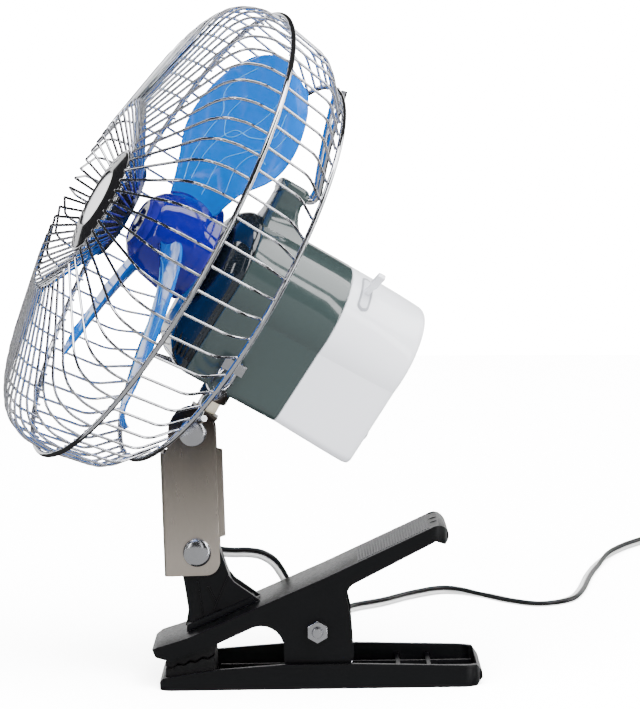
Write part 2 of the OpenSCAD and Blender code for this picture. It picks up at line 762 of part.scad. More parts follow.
// Blade: a cambered sheet between the hub and the tip; s runs across it and q along the radius
blade_mid = hub_back - hub_len * 0.44;
blade_slant = 18;
blade_root = hub_r - 5.4;
blade_turns = [0, 129, 241];
tip_from = 0.5;
fore_sweep = [37, 17];
rear_sweep = [30, 19];
rear_lift = 12.5;
lift_from = 0.33;
function blade_narrow(q) = sqrt(1 - 0.9 * pow(max(q - tip_from, 0) / (1 - tip_from), 2));
function blade_at(q, s, off) = let (r = blade_root + (blade_r - blade_root) * q - 3 * s * s * q * q,
        f = s * blade_narrow(q), wide = s > 0 ? rear_sweep : fore_sweep,
        lift = s > 0 ? rear_lift * s * s * max(q - lift_from, 0) : 0,
        a = blade_phase + f * (wide[0] + wide[1] * q) + off * sin(blade_slant) / r * 57.3)
    [blade_mid + blade_half * f * (0.6 + 0.4 * q) - off * cos(blade_slant) + 1.6 * (1 - s * s) * (q + 0.3) + lift,
        r * cos(a), r * sin(a)];
blade_m = 7;
blade_n = 8;
module one_blade(k) {
    color([0.1, 0.6, 0.95, 0.75])
    at_fan() rotate([blade_turns[k], 0, 0]) {
        face = [for (side = [-1, 1]) for (i = [0:blade_m]) for (j = [0:blade_n])
            blade_at(i / blade_m, -1 + 2 * j / blade_n, side * blade_t / 2)];
        w = blade_n + 1;
        half = w * (blade_m + 1);
        skin = [for (i = [0:blade_m - 1]) for (j = [0:blade_n - 1]) let (a = i * w + j)
            each [[a, a + 1, a + w], [a + 1, a + w + 1, a + w], [a + half, a + w + half, a + 1 + half],
                [a + 1 + half, a + w + half, a + w + 1 + half]]];
        edge = concat([for (j = [0:blade_n]) j], [for (i = [1:blade_m]) i * w + blade_n],
            [for (j = [blade_n - 1:-1:0]) blade_m * w + j], [for (i = [blade_m - 1:-1:1]) i * w]);
        rim = [for (k = [0:len(edge) - 1]) let (a = edge[k], b = edge[(k + 1) % len(edge)])
            each [[a, a + half, b], [b, a + half, b + half]]];
        difference() {
            polyhedron(points = face, faces = concat(skin, rim), convexity = 4);
            rotate([90, 0, 90]) translate([0, 0, hub_back]) rotate_extrude()
                polygon(concat([[0, 2], [hub_r + 0.03, 2]], hub_skin(0.03), [[0, -hub_len - 0.03]]));
        }
    }
}
module blade_1() { one_blade(0); }
module blade_2() { one_blade(1); }
module blade_3() { one_blade(2); }

// Guard: off is the distance in front of the rim, and rad is the radius
rim_x = -53.3;
touch = 0.04;
wire_in = (wire_d + ring_d) / 2 + touch;
function guard_point(off, rad, a) = [rim_x - off, rad * cos(a), rad * sin(a)];
crest = 32.7;
crest_r = 42.5;
shoulder_r = rim_r - 4.8;
front_line = [[1.5, rim_r - wire_in], [-9, rim_r - wire_in - 0.3], [-16.6, shoulder_r - 1], [-20.8, shoulder_r - 8],
    [-crest + 0.6, crest_r + 2.4], [-crest, crest_r], [-crest + 1.6, crest_r - 2],
    [-20, badge_r - 3 + wire_d * 0.42 + touch]];
rear_line = [[-0.5, rim_r - wire_in], [20, rim_r - wire_in - 3.4], [23.2, rim_r - wire_in - 5.4],
    [rear_depth + 0.4 - wire_in * 0.71, hoop_r - 0.4 - wire_in * 0.71]];

module guard_wires(line, turn) {
    for (i = [0:wire_count - 1]) let (a = 360 / wire_count * i + turn) at_fan()
        sweep([for (p = line) guard_point(-p[0], p[1], a)], wire_d, wire_d, 4, [0, -sin(a), cos(a)]);
}
module wire_ring(off, rad, d) {
    along_fan() translate([0, 0, rim_x - off]) rotate_extrude($fn = 96) translate([rad, 0]) circle(d = d, $fn = 24);
}

module guard_front() {
    color([0.78, 0.79, 0.82])
    guard_wires(front_line, 0);
}
module guard_rear() {
    color([0.78, 0.79, 0.82])
    guard_wires(rear_line, 360 / wire_count / 2);
}
module guard_rim() {
    color([0.8, 0.81, 0.84]) {
        wire_ring(0, rim_r, ring_d);
    }
}
module rear_hoop() {
    color([0.8, 0.81, 0.84])
    wire_ring(-rear_depth, hoop_r, ring_d);
}

// Stays that carry the rear hoop on the motor housing
arm_x = -14.2;
arm_top = 44;
arm_long = 11.6;
stay_d = 2.6;
module stay_arm() {
    color([0.33, 0.39, 0.37])
    at_fan() difference() {
        translate([arm_x - 6, -6, shell_r - 0.9]) cube([arm_long, 12, arm_top - shell_r + 0.9]);
        rotate([90, 0, 90]) translate([0, 0, arm_x - 10]) cylinder(h = 30, r = shell_r + 0.02);
        for (s = [-1, 1]) translate([arm_x - 10, s * 3, arm_top - 4]) rotate([0, 90, 0]) cylinder(h = 30, d = stay_d + 0.04);
    }
}
hoop_x = rim_x + rear_depth;
module top_stay() {
    color([0.78, 0.79, 0.82])
    for (s = [-1, 1]) at_fan()
        sweep([[arm_x - 5, s * 3, arm_top - 4], [arm_x + arm_long - 5, s * 3, arm_top - 4], [arm_x + arm_long - 2.6, s * 3, arm_top - 2.6],
            [arm_x + arm_long - 2.2, s * 3.2, arm_top + 1], [hoop_x + ring_d + 6.4, s * 4.6, 64],
            [hoop_x + ring_d / 2 + stay_d / 2 + touch, s * 7, hoop_r + 1]], stay_d, stay_d, 6, [0, 1, 0]);
}
stay_side = foot_half + 3.4;
stay_x = -3;
clamp_in = 21.3;
stay_far = hoop_x + ring_d / 2 + stay_d / 2 + touch;
function on_hoop(s, out, a) = [stay_far, s * (hoop_r + out) * cos(a), (hoop_r + out) * sin(a)];
module lower_stays() {
    color([0.78, 0.79, 0.82])
    for (s = [-1, 1]) at_fan() {
        sweep([[stay_x, s * stay_side, -30], [stay_x, s * stay_side, -38], [-5, s * (stay_side + 2), -42.5],
            [-12, s * 35, -46], on_hoop(s, -1, -38.2), on_hoop(s, 2.1, -34.2)], stay_d, stay_d, 6, [0, 0.3, 1]);
        sweep([[stay_x - 5, s * stay_side, -28], [stay_x - 5, s * stay_side, -33], [-10, s * (stay_side + 2), -37],
            [-14, s * 36, -40], on_hoop(s, -2.6, -29), on_hoop(s, 0.9, -24.8)], stay_d, stay_d, 6, [0, 0.3, 1]);
    }
}
module stay_clamp() {
    color([0.75, 0.76, 0.78])
    at_fan() near_and_far() difference() {
        translate([stay_x - 7.2, clamp_in, -33]) cube([9.6, 4.4, 4.6]);
        translate([stay_x, stay_side, -36]) cylinder(h = 9, d = stay_d + 0.04);
        translate([stay_x - 5, stay_side, -36]) cylinder(h = 9, d = stay_d + 0.04);
    }
}

// Badge in the middle of the guard, left bare
badge_front = rim_x - 28.1;
module badge_ring() {
    color([0.3, 0.3, 0.32])
    along_fan() translate([0, 0, badge_front]) rotate_extrude() polygon([[badge_r, 1.2], [badge_r, 2.4],
        [11.9, 2.4], [11.9, -1.2], [13, -1.4], [badge_r - 1.4, 0.6]]);
}
module badge_disc() {
    color([0.95, 0.95, 0.95])
    along_fan() translate([0, 0, badge_front - 1]) cylinder(h = 3.4, r = 11.85);
}
module badge_cup() {
    color([0.3, 0.3, 0.32])
    along_fan() translate([0, 0, badge_front + 2.42]) difference() {
        cylinder(h = 8, r = badge_r - 3);
        translate([0, 0, 1.4]) cylinder(h = 9, r = badge_r - 4.2);
    }
}

module housing_screws() {
    color([0.7, 0.7, 0.72])
    for (s = [-1, 1]) along_fan() translate([s * 15, -30, cover_x1 - 10]) {
        cylinder(h = 10, d = 3);
        translate([0, 0, 10]) cylinder(h = 0.8, d = 5);
    }
}

// Cord: chosen points from the gland to the coil, then the coil and the plug
route = [[-47, 9.4, 68.5], [-47, 13, 68.3], [-47.6, 17, 65], [-47.4, 20, 59], [-45, 22, 53], [-41, 23.5, 49.4],
    [-35, 24.5, 48.4], [-29, 25.5, 48.2], [-23, 26.5, 47], [-18, 28, 43.6], [-14.5, 31, 38], [-11, 36, 30],
    [-7, 43, 20.5], [-2, 52, 11.5], [3, 63, 4.8], [7, 78, 1.8], [9, 96, 1.2], [9, 116, 1.2], [10, 136, 1.2],
    [16, 153, 1.2], [30, 167, 1.2], [44, 186, 1.2], [60, 199, 1.2], [77, 190, 1.2], [90, 172, 1.2],
    [103, 162, 1.2], [117, 172, 1.2], [125, 198, 1.2], [134, 248, 1.2], [145, 292, 1.2], [158, 325, 1.2],
    [171, 348, 1.2], [181, 368, 1.2], [184, 383, 1.2], [184, 392, 1.2]];
coil_c = [214, 396.4];
floor_z = 1.2;
lay_step = cord_t + 0.6;
turn_step = cord_w + 0.6;
spiral_turns = 2;
function coil_height(u) = let (k = floor(u / spiral_turns + 0.5), v = u - k * spiral_turns)
    floor_z + lay_step * (k - 1 + (k == 0 ? 1 : min(max(v / 0.5 + 0.5, 0), 1)));
function coil_radius(u) = let (v = u % (2 * spiral_turns)) coil_r - turn_step * (v < spiral_turns ? v : 2 * spiral_turns - v);
function coil_point(u) = [coil_c[0] - coil_radius(u) * cos(360 * u), coil_c[1] + coil_radius(u) * sin(360 * u), coil_height(u)];
loop_rings = 24;
coil_line = [for (i = [0:coil_turns * loop_rings]) coil_point(i / loop_rings)];
coil_end = coil_line[len(coil_line) - 1];
coil_path = concat([[coil_line[0][0], coil_c[1] - cord_w, floor_z]], coil_line,
    [[coil_end[0], coil_c[1] - cord_w, coil_end[2]]]);
coil_size = len(coil_path);
function ring_points(i) = let (t = tangent(coil_path, i), u = across(t, [0, 0, 1]), v = cross(t, u))
    [for (a = [0:60:359]) coil_path[i] + u * (cord_w / 2 * cos(a)) + v * (cord_t / 2 * sin(a))];
near_span = 1.4 * cord_w;
self_gaps = [for (i = [0:coil_size - 1]) for (j = [i + 12:coil_size - 1]) if (norm(coil_path[j] - coil_path[i]) < near_span)
    each [for (a = ring_points(i)) for (b = ring_points(j)) norm(b - a)]];
function path_len(p) = len(p) < 2 ? 0 : [for (i = 1, s = norm(p[1] - p[0]); i < len(p);
    i = i + 1, s = s + (i < len(p) ? norm(p[i] - p[i - 1]) : 0)) s][len(p) - 2];
plug_y = coil_c[1] - 40;
plug_z = plug_d / 2;
tail_route = [[coil_end[0], coil_c[1] - cord_w, coil_end[2]], [coil_end[0], coil_c[1] - cord_w - 6, coil_end[2]],
    [coil_end[0], coil_c[1] - 20, plug_z - 0.6], [coil_end[0], plug_y + 6, plug_z], [coil_end[0], plug_y, plug_z]];
echo("least coil gap", min(self_gaps), "cord length", path_len(route) + path_len(coil_path) + path_len(tail_route));

module cord() {
    color([0.1, 0.1, 0.11]) sweep(route, cord_w, cord_t, 8);
}
module cord_coil() {
    color([0.1, 0.1, 0.11]) sweep(coil_path, cord_w, cord_t, 6);
}
module cord_tail() {
    color([0.1, 0.1, 0.11]) sweep(tail_route, cord_w, cord_t, 8);
}

module at_plug() {
    translate([coil_end[0], plug_y, plug_z]) rotate([90, 0, 0]) children();
}
plug_cone = plug_d / 2 - 1.6;
cone_z = 11 + plug_len - 3;
contact_len = 12;
contact_z = 11 + plug_len * 0.55;
module plug_body() {
    color([0.1, 0.1, 0.11])
    at_plug() difference() {
        rotate_extrude() polygon([[0, 0], [3.6, 0], [4.6, 8], [plug_d / 2 - 1.5, 11], [plug_d / 2, 14],
            [plug_d / 2, 11 + plug_len * 0.7], [plug_cone, 11 + plug_len * 0.72], [plug_cone, cone_z],
            [plug_cone - 2.4, cone_z + 3], [0, cone_z + 3]]);
        translate([0, 0, 11 + plug_len - 9]) cylinder(h = 20, d = 6 + 2 * run_fit);
        for (s = [-1, 1]) translate([s * (plug_d / 2 - 1.6), 0, contact_z]) cube([4, 4.2, contact_len], center = true);
    }
}
module plug_ring() {
    color([0.78, 0.79, 0.82])
    at_plug() rotate_extrude() polygon([[plug_cone + 0.04, cone_z], [plug_cone + 0.6, cone_z],
        [plug_cone + 0.5, cone_z + 2.2], [plug_cone - 1.9, cone_z + 2.5]]);
}
module plug_tip() {
    color([0.8, 0.8, 0.82])
    at_plug() translate([0, 0, 11 + plug_len - 5]) {
        cylinder(h = 8, d = 6);
        translate([0, 0, 8]) cylinder(h = 1.2, d = 4.4);
    }
}
module plug_contacts() {
    color([0.78, 0.79, 0.82])
    at_plug() for (s = [-1, 1]) translate([s * (plug_d / 2 - 1.9), 0, contact_z])
        cube([1.6, 4, contact_len - 0.4], center = true);
}

lower_jaw();
lower_pad();
pivot_bolt();
pivot_nut();
clip_spring();
upper_jaw();
clip_post();
upper_pad();
spring_leg();
bracket();
post_rivet();
cord_gland();
tilt_knuckle();
tilt_rivet();
neck_sleeve();
stop_plate();
neck_nut();
swing_arm();
motor_body();
front_bell();
rear_cover();
gear_plate();
gear_screws();
crank_wheel();
motor_can();
motor_endcap();
switch_spindle();
field_magnets();
motor_bearings();
brushes();
housing_screws();
fan_shaft();
armature();
hub();
hub_nut();
blade_1();
blade_2();
blade_3();
guard_front();
guard_rim();
guard_rear();
rear_hoop();
stay_arm();
top_stay();
lower_stays();
stay_clamp();
badge_ring();
badge_disc();
badge_cup();
speed_lever();
cord();
cord_coil();
cord_tail();
plug_body();
plug_ring();
plug_tip();
plug_contacts();
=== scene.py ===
"""Looks for the clip-on fan: metres in the scene, millimetres in the helpers below."""
import json
import math
from math import cos, radians, sin
import bmesh
import bpy
from mathutils import Matrix, Vector


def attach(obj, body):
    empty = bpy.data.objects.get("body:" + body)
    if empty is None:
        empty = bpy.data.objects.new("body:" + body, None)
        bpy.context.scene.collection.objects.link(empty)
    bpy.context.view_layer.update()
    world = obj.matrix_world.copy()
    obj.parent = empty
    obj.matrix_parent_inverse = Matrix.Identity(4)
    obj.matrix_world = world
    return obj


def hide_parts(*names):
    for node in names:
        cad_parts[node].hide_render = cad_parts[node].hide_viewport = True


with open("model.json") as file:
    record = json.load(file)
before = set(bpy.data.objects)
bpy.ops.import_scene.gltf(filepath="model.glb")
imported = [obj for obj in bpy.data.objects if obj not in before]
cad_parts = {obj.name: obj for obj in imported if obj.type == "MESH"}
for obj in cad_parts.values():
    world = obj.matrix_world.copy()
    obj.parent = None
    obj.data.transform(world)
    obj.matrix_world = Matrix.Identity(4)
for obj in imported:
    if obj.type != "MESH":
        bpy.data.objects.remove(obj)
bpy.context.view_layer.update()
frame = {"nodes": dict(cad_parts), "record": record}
MM = 0.001
TAU = 2 * math.pi


# Frames (mm)
def turn(axis, degrees):
    return Matrix.Rotation(radians(degrees), 4, axis)


def shift(x, y, z):
    return Matrix.Translation((x, y, z))


def linked(name, data):
    """A new object in the scene."""
    obj = bpy.data.objects.new(name, data)
    bpy.context.scene.collection.objects.link(obj)
    return obj


ARM_LEN = 49
LEAN = math.degrees(math.atan2(1, ARM_LEN))
LOWER_PIN = Vector((-48.5, 0, 53.4))
TILT_PIN = LOWER_PIN + Vector((-sin(radians(LEAN)), 0, cos(radians(LEAN)))) * ARM_LEN
TILT = 30.87
SWING = 13.86
FAN_H = 63.9
WORLD = Matrix.Identity(4)
ARM = Matrix.Translation(LOWER_PIN) @ turn("Y", -LEAN)
NECK = Matrix.Translation(TILT_PIN) @ turn("Y", TILT)
HEAD = NECK @ turn("Z", SWING)
FAN = HEAD @ shift(0, 0, FAN_H)


# Camera
CAM_AT = Vector((0.00256, -1.21417, 0.23905))
PITCH = radians(5)
ROLL = radians(0.8)
SENSOR = 36
FOCAL_PX = 3000
PHOTO_H = 709
look = Vector((0, cos(PITCH), -sin(PITCH)))
flat_up = Vector((0, sin(PITCH), cos(PITCH)))
cam_right = Vector((1, 0, 0)) * cos(ROLL) - flat_up * sin(ROLL)
cam_up = Vector((1, 0, 0)) * sin(ROLL) + flat_up * cos(ROLL)
camera = linked("camera", bpy.data.cameras.new("camera"))
camera.matrix_world = Matrix((
    (cam_right.x, cam_up.x, -look.x, CAM_AT.x),
    (cam_right.y, cam_up.y, -look.y, CAM_AT.y),
    (cam_right.z, cam_up.z, -look.z, CAM_AT.z),
    (0, 0, 0, 1)))
camera.data.sensor_width = SENSOR
camera.data.lens = FOCAL_PX * SENSOR / PHOTO_H
camera.data.clip_start = 0.02
camera.data.clip_end = 60
bpy.context.scene.camera = camera


# Materials
def linear(r, g, b):
    return tuple(((c / 255 + 0.055) / 1.055) ** 2.4 if c > 10 else c / 255 / 12.92 for c in (r, g, b))


COAT_ROUGH = 0.04
NOISE_ROUGH = 0.55
RAMP_FROM = 0.3
RAMP_TO = 0.7


class Shader:
    """A node material with small helpers, so that each finish stays short."""

    def __init__(self, name, colour, rough, metal=0.0, coat=0.0, clear=0.0, ior=1.45, spec=0.5):
        self.mat = bpy.data.materials.new(name)
        self.mat.use_nodes = True
        self.tree = self.mat.node_tree
        self.bsdf = self.tree.nodes["Principled BSDF"]
        values = {"Metallic": metal, "Roughness": rough, "Coat Weight": coat, "Coat Roughness": COAT_ROUGH,
            "Transmission Weight": clear, "IOR": ior, "Specular IOR Level": spec}
        for key, value in values.items():
            self.bsdf.inputs[key].default_value = value
        self.colour = linear(*colour)
        self.bsdf.inputs["Base Color"].default_value = (*self.colour, 1)
        self.mat.diffuse_color = (*self.colour, 1)

    def node(self, kind, **values):
        n = self.tree.nodes.new(kind)
        for key, value in values.items():
            n.inputs[key].default_value = value
        return n

    def join(self, a, out, b, into):
        self.tree.links.new(a.outputs[out], b.inputs[into])

    def noise(self, scale, detail, stretch):
        place = self.node("ShaderNodeTexCoord")
        grow = self.node("ShaderNodeMapping", Scale=stretch)
        tex = self.node("ShaderNodeTexNoise", Scale=scale, Detail=detail, Roughness=NOISE_ROUGH)
        self.join(place, "Object", grow, "Vector")
        self.join(grow, "Vector", tex, "Vector")
        return tex

    def ramp(self, source, out, low, high, into, start=RAMP_FROM, end=RAMP_TO):
        """A ramp of two colours over an output of another node, into an input of the shader."""
        r = self.node("ShaderNodeValToRGB")
        for element, position, colour in zip(r.color_ramp.elements, (start, end), (low, high)):
            element.position = position
            element.color = (*colour, 1)
        self.join(source, out, r, "Fac")
        self.join(r, "Color", self.bsdf, into)

    def tint(self, scale, share, detail=4):
        low = tuple(c * (1 - share) for c in self.colour)
        high = tuple(min(c * (1 + share), 1) for c in self.colour)
        self.ramp(self.noise(scale, detail, (1, 1, 1)), "Fac", low, high, "Base Color")

    def fade(self, low_z, high_z, low, high):
        """Painted shade: base colour that runs from low to high between two heights in metres."""
        place = self.node("ShaderNodeTexCoord")
        split = self.node("ShaderNodeSeparateXYZ")
        span = self.node("ShaderNodeMapRange")
        span.inputs["From Min"].default_value = low_z
        span.inputs["From Max"].default_value = high_z
        self.join(place, "Object", split, "Vector")
        self.join(split, "Z", span, "Value")
        self.ramp(span, "Result", linear(*low), linear(*high), "Base Color", 0, 1)

    def vary_rough(self, scale, low, high, detail=4, stretch=(1, 1, 1)):
        self.ramp(self.noise(scale, detail, stretch), "Fac", (low,) * 3, (high,) * 3, "Roughness")

    def bump(self, scale, strength, distance, detail=4, stretch=(1, 1, 1)):
        """Noise as a fine relief, its distance in metres."""
        tex = self.noise(scale, detail, stretch)
        b = self.node("ShaderNodeBump", Strength=strength, Distance=distance)
        self.join(tex, "Fac", b, "Height")
        self.join(b, "Normal", self.bsdf, "Normal")


FINISH = {}


def add_finish(key, name, colour, rough, tint=None, vary=None, bump=None, fade=None, **values):
    """Adds a finish, with what is given of a painted shade by height, noise on its colour, on its roughness
    and a bump.
    """
    shader = Shader(name, colour, rough, **values)
    steps = ((shader.fade, fade), (shader.tint, tint), (shader.vary_rough, vary), (shader.bump, bump))
    for step, given in steps:
        if given:
            step(*given)
    FINISH[key] = shader.mat
    return shader


add_finish("clip_plastic", "clip_nylon", (4, 4, 6), 0.36, (60, 0.12), (900, 0.3, 0.44, 2),
    (2600, 0.25, 0.00012, 2), spec=0.32)
# The ridges' grey is a painted highlight on the clip's black nylon, where the top of the handle catches the
# light.
add_finish("ridges", "handle_ridges_painted_highlight", (46, 46, 49), 0.42, (900, 0.35, 3), bump=(3000, 0.5, 0.0002, 2))
add_finish("pad_rubber", "pad_rubber", (7, 7, 8), 0.7, (300, 0.2), bump=(1800, 0.35, 0.0002, 3))
add_finish("bright_steel", "bright_zinc", (205, 206, 210), 0.18, (120, 0.06), (260, 0.12, 0.26, 5),
    (700, 0.08, 0.0001), metal=1)
# The bracket's base colour is painted shade: light near its foot, darkening towards its top.
add_finish("bracket_steel", "satin_nickel_painted_shade", (158, 146, 136), 0.34, None, (200, 0.27, 0.42, 5, (6, 6, 0.5)),
    (900, 0.12, 0.0001, 4, (4, 4, 0.3)), (0.05, 0.107, (228, 218, 206), (58, 51, 46)), metal=1)
add_finish("knuckle_steel", "dark_plate", (92, 84, 78), 0.35, (90, 0.15), (240, 0.26, 0.45, 5),
    (800, 0.12, 0.0001), metal=1)
bush = add_finish("nylon", "natural_nylon", (232, 222, 196), 0.42, (150, 0.06), bump=(900, 0.1, 0.0001))
bush.bsdf.inputs["Subsurface Weight"].default_value = 0.25
bush.bsdf.inputs["Subsurface Radius"].default_value = (0.002, 0.0015, 0.001)
add_finish("housing_plastic", "grey_green_gloss", (47, 58, 57), 0.1, (30, 0.05), (400, 0.1, 0.17),
    (240, 0.03, 0.0001, 2), coat=0.9, spec=0.6)
# The bell's darker base colour is painted shade on the housing's grey-green plastic.
add_finish("bell_plastic", "bell_gloss_painted_shade", (13, 20, 26), 0.08, (30, 0.08), (400, 0.07, 0.12),
    coat=0.8, spec=0.6)
add_finish("cover_plastic", "white_gloss", (243, 244, 249), 0.17, (24, 0.015), (420, 0.13, 0.22),
    (260, 0.03, 0.0001, 2), coat=0.5)
# Greys for the lever slot, which is painted shade on the white cover.
add_finish("slot_grey", "slot_grey", (150, 152, 158), 0.5, (200, 0.08))
add_finish("slot_pale", "slot_pale", (206, 208, 214), 0.4, (200, 0.05))
# Near black, used as painted shade in the bell's vents.
add_finish("void", "vent_painted_shade", (12, 12, 14), 0.7, (200, 0.2))
add_finish("can_steel", "zinc_can", (160, 162, 166), 0.38, None, (200, 0.3, 0.48, 5), metal=1)
add_finish("magnet", "ferrite", (45, 44, 46), 0.6, (400, 0.25))
add_finish("bronze", "bronze", (190, 130, 70), 0.4, None, (300, 0.3, 0.5), metal=1)
add_finish("hub_plastic", "hub_blue", (10, 8, 112), 0.08, (40, 0.12), (300, 0.04, 0.1),
    coat=0.5, clear=0.05, ior=1.46)
add_finish("hub_edge", "hub_edge_violet", (40, 36, 138), 0.16, (120, 0.15), coat=0.4, clear=0.1, ior=1.46)
add_finish("blade_plastic", "blade_azure", (0, 98, 192), 0.12, (18, 0.06, 2), (260, 0.05, 0.11),
    (35, 0.12, 0.0008, 1), clear=0.2, ior=1.3, spec=0.25)
add_finish("blade_edge", "blade_pale_edge", (30, 118, 214), 0.12, (30, 0.1, 2), clear=0.4, ior=1.3, spec=0.4)
add_finish("flow_line", "blade_flow_line", (90, 170, 225), 0.2, (60, 0.1), clear=0.1, ior=1.4)
add_finish("guard_chrome", "guard_chrome", (224, 225, 230), 0.04, None, (260, 0.03, 0.08, 5), metal=1)
add_finish("badge_chrome", "badge_mirror", (16, 16, 18), 0.1, None, (300, 0.05, 0.14, 5),
    (90, 0.06, 0.0002, 2), coat=0.6, spec=0.7)
add_finish("badge_cup", "badge_cup_metal", (58, 60, 74), 0.16, None, (300, 0.1, 0.24, 5), metal=1)
add_finish("badge_face", "badge_white", (243, 243, 244), 0.2, (60, 0.012), bump=(400, 0.02, 0.0001), coat=0.6)
add_finish("cord_vinyl", "cord_black", (10, 10, 11), 0.36, (240, 0.25), bump=(700, 0.15, 0.0002, 3))
add_finish("cord_white", "cord_white", (232, 232, 230), 0.36, (240, 0.03), bump=(700, 0.12, 0.0002, 3))
add_finish("plug_plastic", "plug_black", (12, 12, 13), 0.32, (300, 0.2), (500, 0.26, 0.42),
    (1500, 0.15, 0.0001))
add_finish("plug_metal", "plug_nickel", (206, 204, 200), 0.16, None, (300, 0.12, 0.26, 5), metal=1)

SLOT_OF = {n["node"]: n["material_slot"] for n in frame["record"]["subparts"]}
BODY_OF = {n: b for b, ns in frame["record"]["behaviour"]["bodies"].items() for n in ns}
for cad_name, cad_object in frame["nodes"].items():
    cad_object.data.materials.clear()
    cad_object.data.materials.append(FINISH[SLOT_OF[cad_name]])


# Mesh helpers
def settle(obj, angle):
    """Turns the faces outwards, shades smooth and keeps edges sharper than angle sharp."""
    bm = bmesh.new()
    bm.from_mesh(obj.data)
    bmesh.ops.recalc_face_normals(bm, faces=bm.faces)
    for f in bm.faces:
        f.smooth = True
    for e in bm.edges:
        e.smooth = len(e.link_faces) != 2 or e.calc_face_angle(0) < radians(angle)
    bm.to_mesh(obj.data)
    bm.free()
    obj.data.update()


def new_object(name, verts, faces, place=WORLD, weld=0.0):
    mesh = bpy.data.meshes.new(name)
    mesh.from_pydata([(place @ Vector(v)) * MM for v in verts], [], faces)
    obj = linked(name, mesh)
    if weld:
        bm = bmesh.new()
        bm.from_mesh(mesh)
        bmesh.ops.remove_doubles(bm, verts=bm.verts, dist=weld * MM)
        bm.to_mesh(mesh)
        bm.free()
    return obj


def rounded_edges(obj, width, segments, angle=35):
    """Bevels the edges that are sharper than angle, and keeps the result as the mesh."""
    mod = obj.modifiers.new("edges", "BEVEL")
    mod.width = width * MM
    mod.segments = segments
    mod.limit_method = "ANGLE"
    mod.angle_limit = radians(angle)
    deps = bpy.context.evaluated_depsgraph_get()
    mesh = bpy.data.meshes.new_from_object(obj.evaluated_get(deps))
    obj.modifiers.clear()
    obj.data = mesh


def dress(obj, finish, body, nodes=(), angle=35):
    """Gives a new piece its finish, its body and the nodes that it stands for."""
    obj.data.materials.clear()
    obj.data.materials.append(FINISH[finish])
    settle(obj, angle)
    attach(obj, body)
    if nodes:
        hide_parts(*nodes)
    return obj


def piece(name, part, place, finish, body, nodes=(), angle=35):
    """A new object of (verts, faces), dressed."""
    return dress(new_object(name, *part, place), finish, body, nodes, angle)


def second_finish(obj, finish, place, wanted):
    """Another finish for the faces whose middle is wanted, told in the frame of place."""
    obj.data.materials.append(FINISH[finish])
    back = place.inverted()
    for face in obj.data.polygons:
        if wanted(back @ (face.center / MM)):
            face.material_index = 1


def from_cad(node, width, segments=2, finish=None):
    """A copy of a CAD node with its edges rounded, which stands for that node."""
    mesh = frame["nodes"][node].data.copy()
    obj = linked(node + "_dressed", mesh)
    bm = bmesh.new()
    bm.from_mesh(mesh)
    bmesh.ops.remove_doubles(bm, verts=bm.verts, dist=0.00002)
    bmesh.ops.dissolve_limit(bm, angle_limit=radians(1.5), verts=bm.verts, edges=bm.edges)
    bm.to_mesh(mesh)
    bm.free()
    rounded_edges(obj, width, segments, 30)
    return dress(obj, finish or SLOT_OF[node], BODY_OF[node], [node], 30)


def fillet(points, share, steps, reach=99.0):
    """Rounds a path's corners: each cut takes up to share of its shorter side, or reach."""
    pts = [Vector(p) for p in points]
    out = [pts[0]]
    for a, b, c in zip(pts, pts[1:], pts[2:]):
        d = min((a - b).length * share, (c - b).length * share, reach)
        p, q = b + (a - b).normalized() * d, b + (c - b).normalized() * d
        for i in range(steps + 1):
            t = i / steps
            out.append(p * (1 - t) ** 2 + b * (2 * t * (1 - t)) + q * t * t)
    out.append(pts[-1])
    return out


def frames(path, hint):
    """Tangent and two side directions at each point; the sides turn as little as they can."""
    n = len(path)
    side = None
    out = []
    for i in range(n):
        t = (path[min(i + 1, n - 1)] - path[max(i - 1, 0)]).normalized()
        if side is None:
            side = Vector(hint).cross(t)
        side = (side - t * side.dot(t)).normalized()
        out.append((t, side, t.cross(side)))
    return out


def bands(rows, count, base=0):
    """Faces between neighbouring rings of count points each."""
    faces = []
    for i in range(rows - 1):
        for k in range(count):
            a, b = base + i * count + k, base + i * count + (k + 1) % count
            faces.append((a, b, b + count, a + count))
    return faces


def end_caps(rows, count, base=0):
    """The faces that close the first and the last ring."""
    last = base + (rows - 1) * count
    return [list(range(base, base + count))[::-1], list(range(last, last + count))]


def tube(paths, radius, sides, hint):
    """Round rods along paths, as vertices and faces."""
    verts, faces = [], []
    for path in paths:
        path = [Vector(p) for p in path]
        base = len(verts)
        for p, (_, u, v) in zip(path, frames(path, hint)):
            for k in range(sides):
                a = TAU * k / sides
                verts.append(p + u * (radius * cos(a)) + v * (radius * sin(a)))
        faces += bands(len(path), sides, base) + end_caps(len(path), sides, base)
    return verts, faces


def lathe(profile, sides, closed=False):
    """A profile of (along x, radius) turned about the x axis."""
    verts, faces, rows = [], [], []
    for x, r in profile:
        if r < 1e-6:
            rows.append([len(verts)])
            verts.append((x, 0, 0))
        else:
            rows.append(list(range(len(verts), len(verts) + sides)))
            verts += [(x, r * cos(TAU * k / sides), r * sin(TAU * k / sides)) for k in range(sides)]
    pairs = list(zip(rows, rows[1:])) + ([(rows[-1], rows[0])] if closed else [])
    for a, b in pairs:
        for k in range(sides):
            j = (k + 1) % sides
            if len(a) == 1 and len(b) > 1:
                faces.append((a[0], b[k], b[j]))
            elif len(b) == 1 and len(a) > 1:
                faces.append((a[k], b[0], a[j]))
            elif len(a) > 1:
                faces.append((a[k], b[k], b[j], a[j]))
    return verts, faces


def hoop(x, radius, wire, around, sides=16):
    """A round wire bent to a ring about the x axis."""
    turns = [TAU * k / sides for k in range(sides)]
    profile = [(x + wire * cos(a), radius + wire * sin(a)) for a in turns]
    return lathe(profile, around, closed=True)


